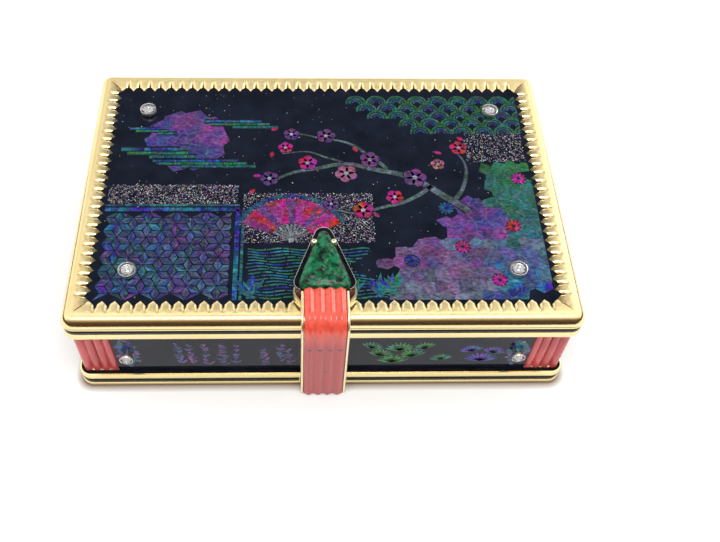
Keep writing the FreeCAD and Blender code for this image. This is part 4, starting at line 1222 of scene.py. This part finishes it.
stone_rows = [level_ring(head_outline(1.0), stone_low), level_ring(head_outline(1.0), lip_top - 0.1)]
heart = np.array([0.0, head_outline(0)[:, 1].mean() - 0.4])
wide = head_outline(0.62)
for t in np.linspace(0, 1, 30):
    reach = 1 - 0.995 * t
    bulge = 1 - 0.05 * max(0.0, 1 - 8 * t)
    ring = heart + (wide - heart) * reach * bulge
    ring[:, 1] += 1.0 * np.minimum((ring[:, 1] - heart[1]) / (heart[1] - head_front), 0)
    z = lip_top + 0.1 + (stone_high - lip_top - 0.3) * (1 - reach ** 3.6) ** 0.62
    relief = 0.20 * wrinkle(ring[:, 0], ring[:, 1]) * min(1, 6 * t)
    stone_rows.append(np.column_stack([ring, z + relief]))
new_piece("carved_emerald", swept(stone_rows), "clasp", emerald, 70.0, "emerald")


# ---- Finishes of the pieces kept from CAD -----------------------------------------------------------
# Polished gold for the hinge and the slider, brushed gold for the deck and the mirror's frame, warm gold
# inside, pale gold for the strip under the clasp, and the mirror, card, powder, steel and arm's enamel.

brushed_gold = gold_finish("brushed_gold", (0.96, 0.82, 0.50), (0.92, 0.75, 0.42), 0.24, (1.0, 26.0, 1.0),
                           2400.0, 0.05)
warm_gold = gold_finish("warm_gold", (0.88, 0.56, 0.22), (0.78, 0.45, 0.16), 0.24)
pale_gold = gold_finish("pale_gold", (0.93, 0.84, 0.60), (0.88, 0.77, 0.52), 0.2)
steel = gold_finish("steel", (0.50, 0.50, 0.52), (0.40, 0.40, 0.42), 0.3)
card = mottled("pad_card", (1500.0,), (0.10, 0.09, 0.08), (0.16, 0.14, 0.12),
               relief=((4000.0,), 0.3, 0.00005), Roughness=0.9)
silvering = mottled("mirror_glass", (70.0,), (0.90, 0.91, 0.92), (0.95, 0.95, 0.95), (500.0, 0.01, 0.03),
                    Metallic=1.0)
powder = mottled("powder", (1800.0, 5.0), (0.72, 0.44, 0.32), (0.82, 0.55, 0.42),
                 relief=((5000.0,), 0.4, 0.00008), Roughness=0.95)
finishes = {"gold": polished_gold, "inner_gold": warm_gold, "black_enamel": enamel, "steel": steel,
            "white_metal": white_metal, "pad_card": card, "mirror_glass": silvering, "powder": powder}
special = {"deck_plate": brushed_gold, "mirror_frame": brushed_gold, "front_strip": pale_gold}
for node, facts in nodes.items():
    material = special.get(node) or finishes.get(facts.get("material") or facts.get("slot"))
    if material is not None:
        refinish(node, material)


# ---- Wells ------------------------------------------------------------------------------------------
# Two spun pans of warm gold under the deck: straight walls with fine turning lines and a rounded foot.
# Each is one body of revolution, open upward, with its wall and floor of the same thickness.

turned_gold = gold_finish("turned_gold", (0.90, 0.55, 0.20), (0.80, 0.44, 0.13), 0.2, (1.0, 1.0, 14.0), 700.0,
                          0.15)
pan_wall = 0.4
for name in ("left", "right"):
    well_low, well_high = box_mm("well_" + name)
    middle = (well_low + well_high) / 2
    outer = (well_high[0] - well_low[0]) / 2
    inner, floor = outer - pan_wall, well_low[2] + pan_wall
    profile = [(0.05, well_low[2]), (outer - 0.5, well_low[2]), (outer, well_low[2] + 0.5), (outer, well_high[2]),
               (inner, well_high[2]), (inner, floor + 0.6), (inner - 0.2, floor + 0.15), (inner - 0.6, floor),
               (0.05, floor)]
    points, faces = lathe(profile, 144)
    pan = points + (middle[0], middle[1], 0), faces
    new_piece("pan_" + name, pan, "case", turned_gold, 40.0, "well_" + name)


# ---- Puffs ------------------------------------------------------------------------------------------
# Soft cream puffs that lie on the powder: a cushion with a rolled, stitched edge and a faint nap, and a
# folded ribbon tab to lift each one by.

puff_cloth = mottled("puff_cloth", (2200.0, 5.0), (0.62, 0.57, 0.50), (0.74, 0.70, 0.64),
                     relief=((5200.0, 5.0), 0.6, 0.00012), Roughness=0.95, Sheen_Weight=0.4)
ribbon = mottled("ribbon", (1800.0, 3.0, (1.0, 18.0, 1.0)), (0.40, 0.26, 0.13), (0.54, 0.38, 0.22),
                 relief=((2600.0, 2.0, (1.0, 10.0, 1.0)), 0.3, 0.00005), Roughness=0.45, Sheen_Weight=0.3)
for name in ("left", "right"):
    puff_low, puff_high = box_mm("puff_" + name)
    middle = (puff_low + puff_high) / 2
    outer = (puff_high[0] - puff_low[0]) / 2
    z0, z1 = puff_low[2], puff_high[2]
    tall = z1 - z0
    turn = np.linspace(0, 2 * math.pi, 160, endpoint=False)
    rows = []
    half_round = np.linspace(-1, 1, 9) * math.pi / 2
    rings = [(0.05, z0 + 0.1, 0), (outer - 2.2, z0 + 0.05, 0)]
    rings += [(outer - 0.9 + 0.88 * math.cos(a), z0 + tall / 2 + 0.42 * tall * math.sin(a), 0.02)
              for a in half_round]
    rings += [(outer - 1.5, z1 - 0.34, 0.05), (outer - 1.9, z1 - 0.52, 0.10), (outer - 2.4, z1 - 0.36, 0.06)]
    rings += [(r * (outer - 2.6), z1 - 0.02 - 0.26 * r ** 4, 0.015)
              for r in (1, 0.9, 0.75, 0.55, 0.35, 0.15, 0.003)]
    for radius, z, stitch in rings:
        rows.append(np.column_stack([arc(middle[:2], radius, turn), z + stitch * np.cos(36 * turn)]))
    cushion = new_piece("cushion_" + name, swept(rows), "puff_" + name, puff_cloth, 180.0)
    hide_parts("puff_" + name)
    tab_low, tab_high = box_mm("puff_tab_" + name)
    length = tab_high[0] - tab_low[0]
    rise = tab_high[2] - tab_low[2]
    fold = [(0.97, 0.02 / rise), (0.6, 0.02 / rise), (0.25, 0.03 / rise), (0.06, 0.12), (0.0, 0.30),
            (0.07, 0.50), (0.3, 0.58), (0.6, 0.72), (1.0, 0.98)]
    run = eased(np.array(fold) * (length, rise), 33, [0.25, 0.5, 0.25])
    rows = []
    for (x, z), (sx, sz) in zip(run + (0, 0.09), beside(run) * 0.07):
        row = [(x - sx, tab_low[1] + 0.02, z - sz), (x - sx, tab_high[1] - 0.02, z - sz),
               (x + sx, tab_high[1] - 0.02, z + sz), (x + sx, tab_low[1] + 0.02, z + sz)]
        rows.append(np.array(row) + (tab_low[0], 0, tab_low[2]))
    new_piece("ribbon_tab_" + name, swept(rows), "puff_" + name, ribbon, 50.0,
              "puff_tab_" + name)


# ---- Lipstick tube ----------------------------------------------------------------------------------
# A plain gold tube that lies in the trough, with a rounded closed tail, a slot along its front for the
# slider and an open mouth.  Each stretch is a ring or a C of the same wall, and they meet end to end.

tube_low, tube_high = box_mm("lipstick_tube")
tube_radius = (tube_high[2] - tube_low[2]) / 2
tube_y, tube_z = (tube_low[1] + tube_high[1]) / 2, (tube_low[2] + tube_high[2]) / 2
tube_wall = 0.8
slot_turn = math.asin(1.2 / tube_radius)
slot_x0, slot_x1 = tube_low[0] + 8.3, tube_low[0] + 42.3
tail_length = 4.8
bore_x0 = tube_low[0] + tail_length
closed_gap = 0.0005


def wall_ring(x, gap, outer_inset=0.0):
    """Closed outline of the tube's wall at x; gap is half the angle left open toward the front."""
    turn = np.linspace(gap, 2 * math.pi - gap, 72) - math.pi / 2
    outline = []
    for radius, angles in ((tube_radius - outer_inset, turn), (tube_radius - tube_wall, turn[::-1])):
        outline += [(x, tube_y + radius * math.sin(a), tube_z + radius * math.cos(a)) for a in angles]
    return outline


tail = lathe([(tube_radius - 0.9, 0.0), (tube_radius - 0.25, 0.12), (tube_radius, 0.5),
              (tube_radius, tail_length)], 72)
tail = set_on(tail, (tube_low[0], tube_y, tube_z), (1, 0, 0))
stretches = [tail, swept([wall_ring(bore_x0, closed_gap), wall_ring(slot_x0, closed_gap)]),
             swept([wall_ring(slot_x0, slot_turn), wall_ring(slot_x1, slot_turn)]),
             swept([wall_ring(slot_x1, closed_gap), wall_ring(tube_high[0] - 0.25, closed_gap),
                    wall_ring(tube_high[0], closed_gap, 0.22)])]
new_piece("gold_tube", joined(stretches), "lipstick", polished_gold, instead="lipstick_tube")
lipstick = mottled("lipstick", (700.0,), (0.42, 0.03, 0.06), (0.52, 0.05, 0.08), Roughness=0.35,
                   Subsurface_Weight=0.1)
bullet_low, bullet_high = box_mm("lipstick_bullet")
bullet_radius = (bullet_high[2] - bullet_low[2]) / 2
reach = bullet_high[0] - bullet_low[0]
z, y = disc((0, 0), bullet_radius, 48).T
slant = np.minimum(reach, reach - 1.6 * bullet_radius + (bullet_radius - z) * 1.6 / 1.5)
rows = [np.column_stack([bullet_low[0] + t * slant, tube_y + y, tube_z + z]) for t in np.linspace(0, 1, 15)]
new_piece("stick", swept(rows), "lipstick_slider", lipstick, instead="lipstick_bullet")


# ---- Floor, light and camera ------------------------------------------------------------------------
# The case lies on a plain white sheet with a contact shadow painted round its foot, under a bright sky with a
# dark flag that keeps the lacquer black, and two softboxes.  In front stands a card, dark at its foot and paler
# upward, with low wings along the sides: it draws the brown line along the rolled edge.

def stage_sheet(name, points, faces, material):
    """Flat sheet of the set, in metres; it isn't part of the object."""
    mesh = bpy.data.meshes.new(name)
    mesh.from_pydata(points, [], faces)
    mesh.materials.append(material)
    sheet = placed(name, mesh)
    return sheet


floor_reach = 2.0
foot_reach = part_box("base_rim")[1][0] - 2.0 * mm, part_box("base_rim")[1][1] - 2.0 * mm
floor_paint, tree, shader = finish("floor_paint")
seen = add(tree, "ShaderNodeLightPath").outputs["Is Camera Ray"]
paper = blend(tree, seen, (0.90, 0.90, 0.90), (0.96, 0.955, 0.95))
outward = object_place(tree)
for operation, number in (("ABSOLUTE", (0, 0, 0)), ("SUBTRACT", (*foot_reach, 1.0)), ("MAXIMUM", (0, 0, 0))):
    outward = add(tree, "ShaderNodeVectorMath", outward, number, operation=operation).outputs["Vector"]
distance = add(tree, "ShaderNodeVectorMath", outward, operation="LENGTH").outputs["Value"]
# Painted contact shadow: the sheet's colour is multiplied down to warm grey within a few millimetres of the
# base's outline.
painted_contact_shadow = spread(tree, distance, 1.0, 0.0, 1.9 * mm, 3.4 * mm)
dress(tree, shader, Base_Color=blend(tree, painted_contact_shadow, paper, (0.30, 0.22, 0.17), "MULTIPLY"), Roughness=0.95,
      Specular_IOR_Level=0.1)
floor = stage_sheet("floor", level_ring(bar(-floor_reach, floor_reach, 0, floor_reach), 0).tolist(),
                    [(0, 1, 2, 3)], floor_paint)
floor.location.z = -0.02 * mm

card_half, card_y, card_height, wing_y = 0.16, -0.088, 0.15, 0.1
card_corners = [(side * card_half, y, z) for y, z in ((card_y, 0.0), (card_y, 0.058), (card_y, card_height),
                                                      (wing_y, 0.0), (wing_y, 0.04)) for side in (-1, 1)]
card_paint, tree, shader = finish("card_paint")
browns = [(0.11, (0.045, 0.026, 0.015)), (0.22, (0.080, 0.048, 0.033)), (0.32, (0.17, 0.115, 0.080)),
          (0.41, (0.42, 0.33, 0.27)), (0.57, (0.75, 0.65, 0.62)), (1.0, (0.95, 0.92, 0.92))]
dress(tree, shader, Roughness=1.0,
      Base_Color=ramp(tree, spread(tree, object_height(tree), 0.0, 1.0, 0.0, card_height), browns))
card_faces = [(0, 1, 3, 5, 4, 2), (1, 7, 9, 3), (6, 0, 2, 8)]
dark_card = stage_sheet("dark_card", card_corners, card_faces, card_paint)
dark_card.visible_camera = dark_card.visible_diffuse = dark_card.visible_shadow = False

world = bpy.data.worlds.new("studio")
bpy.context.scene.world = world
world.use_nodes = True
tree = world.node_tree
sky = tree.nodes["Background"]
view = add(tree, "ShaderNodeTexCoord").outputs["Generated"]


def sky_patch(toward, level, edge, core):
    """Factor of the sky that falls to a level near a direction, between two cosines."""
    near = add(tree, "ShaderNodeVectorMath", view, toward, operation="DOT_PRODUCT")
    return spread(tree, near.outputs["Value"], 1.0, level, edge, core)


flag = sky_patch((0.03, 0.65, 0.757), 0.12, 0.90, 0.94)
card_seen = sky_patch((0.0, -0.98, 0.20), 0.10, 0.55, 0.86)
sky_strength = 1.3
bright = worked(tree, "MULTIPLY", worked(tree, "MULTIPLY", flag, card_seen), sky_strength)
seen = add(tree, "ShaderNodeLightPath").outputs["Is Camera Ray"]
dress(tree, sky, Color=(1, 1, 1), Strength=worked(tree, "MAXIMUM", bright, seen))


def soft_light(name, place, size, power):
    """Rectangular area light at a place, turned to face the origin."""
    lamp = bpy.data.lights.new(name, "AREA")
    lamp.shape = "RECTANGLE"
    lamp.size, lamp.size_y = size
    lamp.energy = power
    light = placed(name, lamp)
    light.location = place
    light.rotation_euler = (-Vector(place)).to_track_quat("-Z", "Y").to_euler()


soft_light("softbox_above", (0.0, -0.14, 0.5), (0.24, 0.18), 1.02)
soft_light("softbox_right", (0.32, 0.27, 0.29), (0.16, 0.16), 0.28)

camera_place = (-0.004848, -0.1026511, 0.1400336)
elevation, yaw, lean = 0.956871, 0.053320, 0.040695
ahead = Vector((math.sin(yaw) * math.cos(elevation), math.cos(yaw) * math.cos(elevation),
                -math.sin(elevation)))
level = ahead.cross(Vector((0, 0, 1))).normalized()
rise = level.cross(ahead)
right = math.cos(lean) * level + math.sin(lean) * rise
upward = -math.sin(lean) * level + math.cos(lean) * rise
lens = bpy.data.cameras.new("camera")
lens.sensor_width = 36.0
lens.lens = 43.476
lens.shift_x = 0.0528
lens.clip_start = 0.01
camera = placed("camera", lens)
camera.matrix_world = Matrix.Translation(camera_place) @ Matrix((right, upward, -ahead)).transposed().to_4x4()
bpy.context.scene.camera = camera
bpy.context.scene.view_settings.view_transform = "Standard"
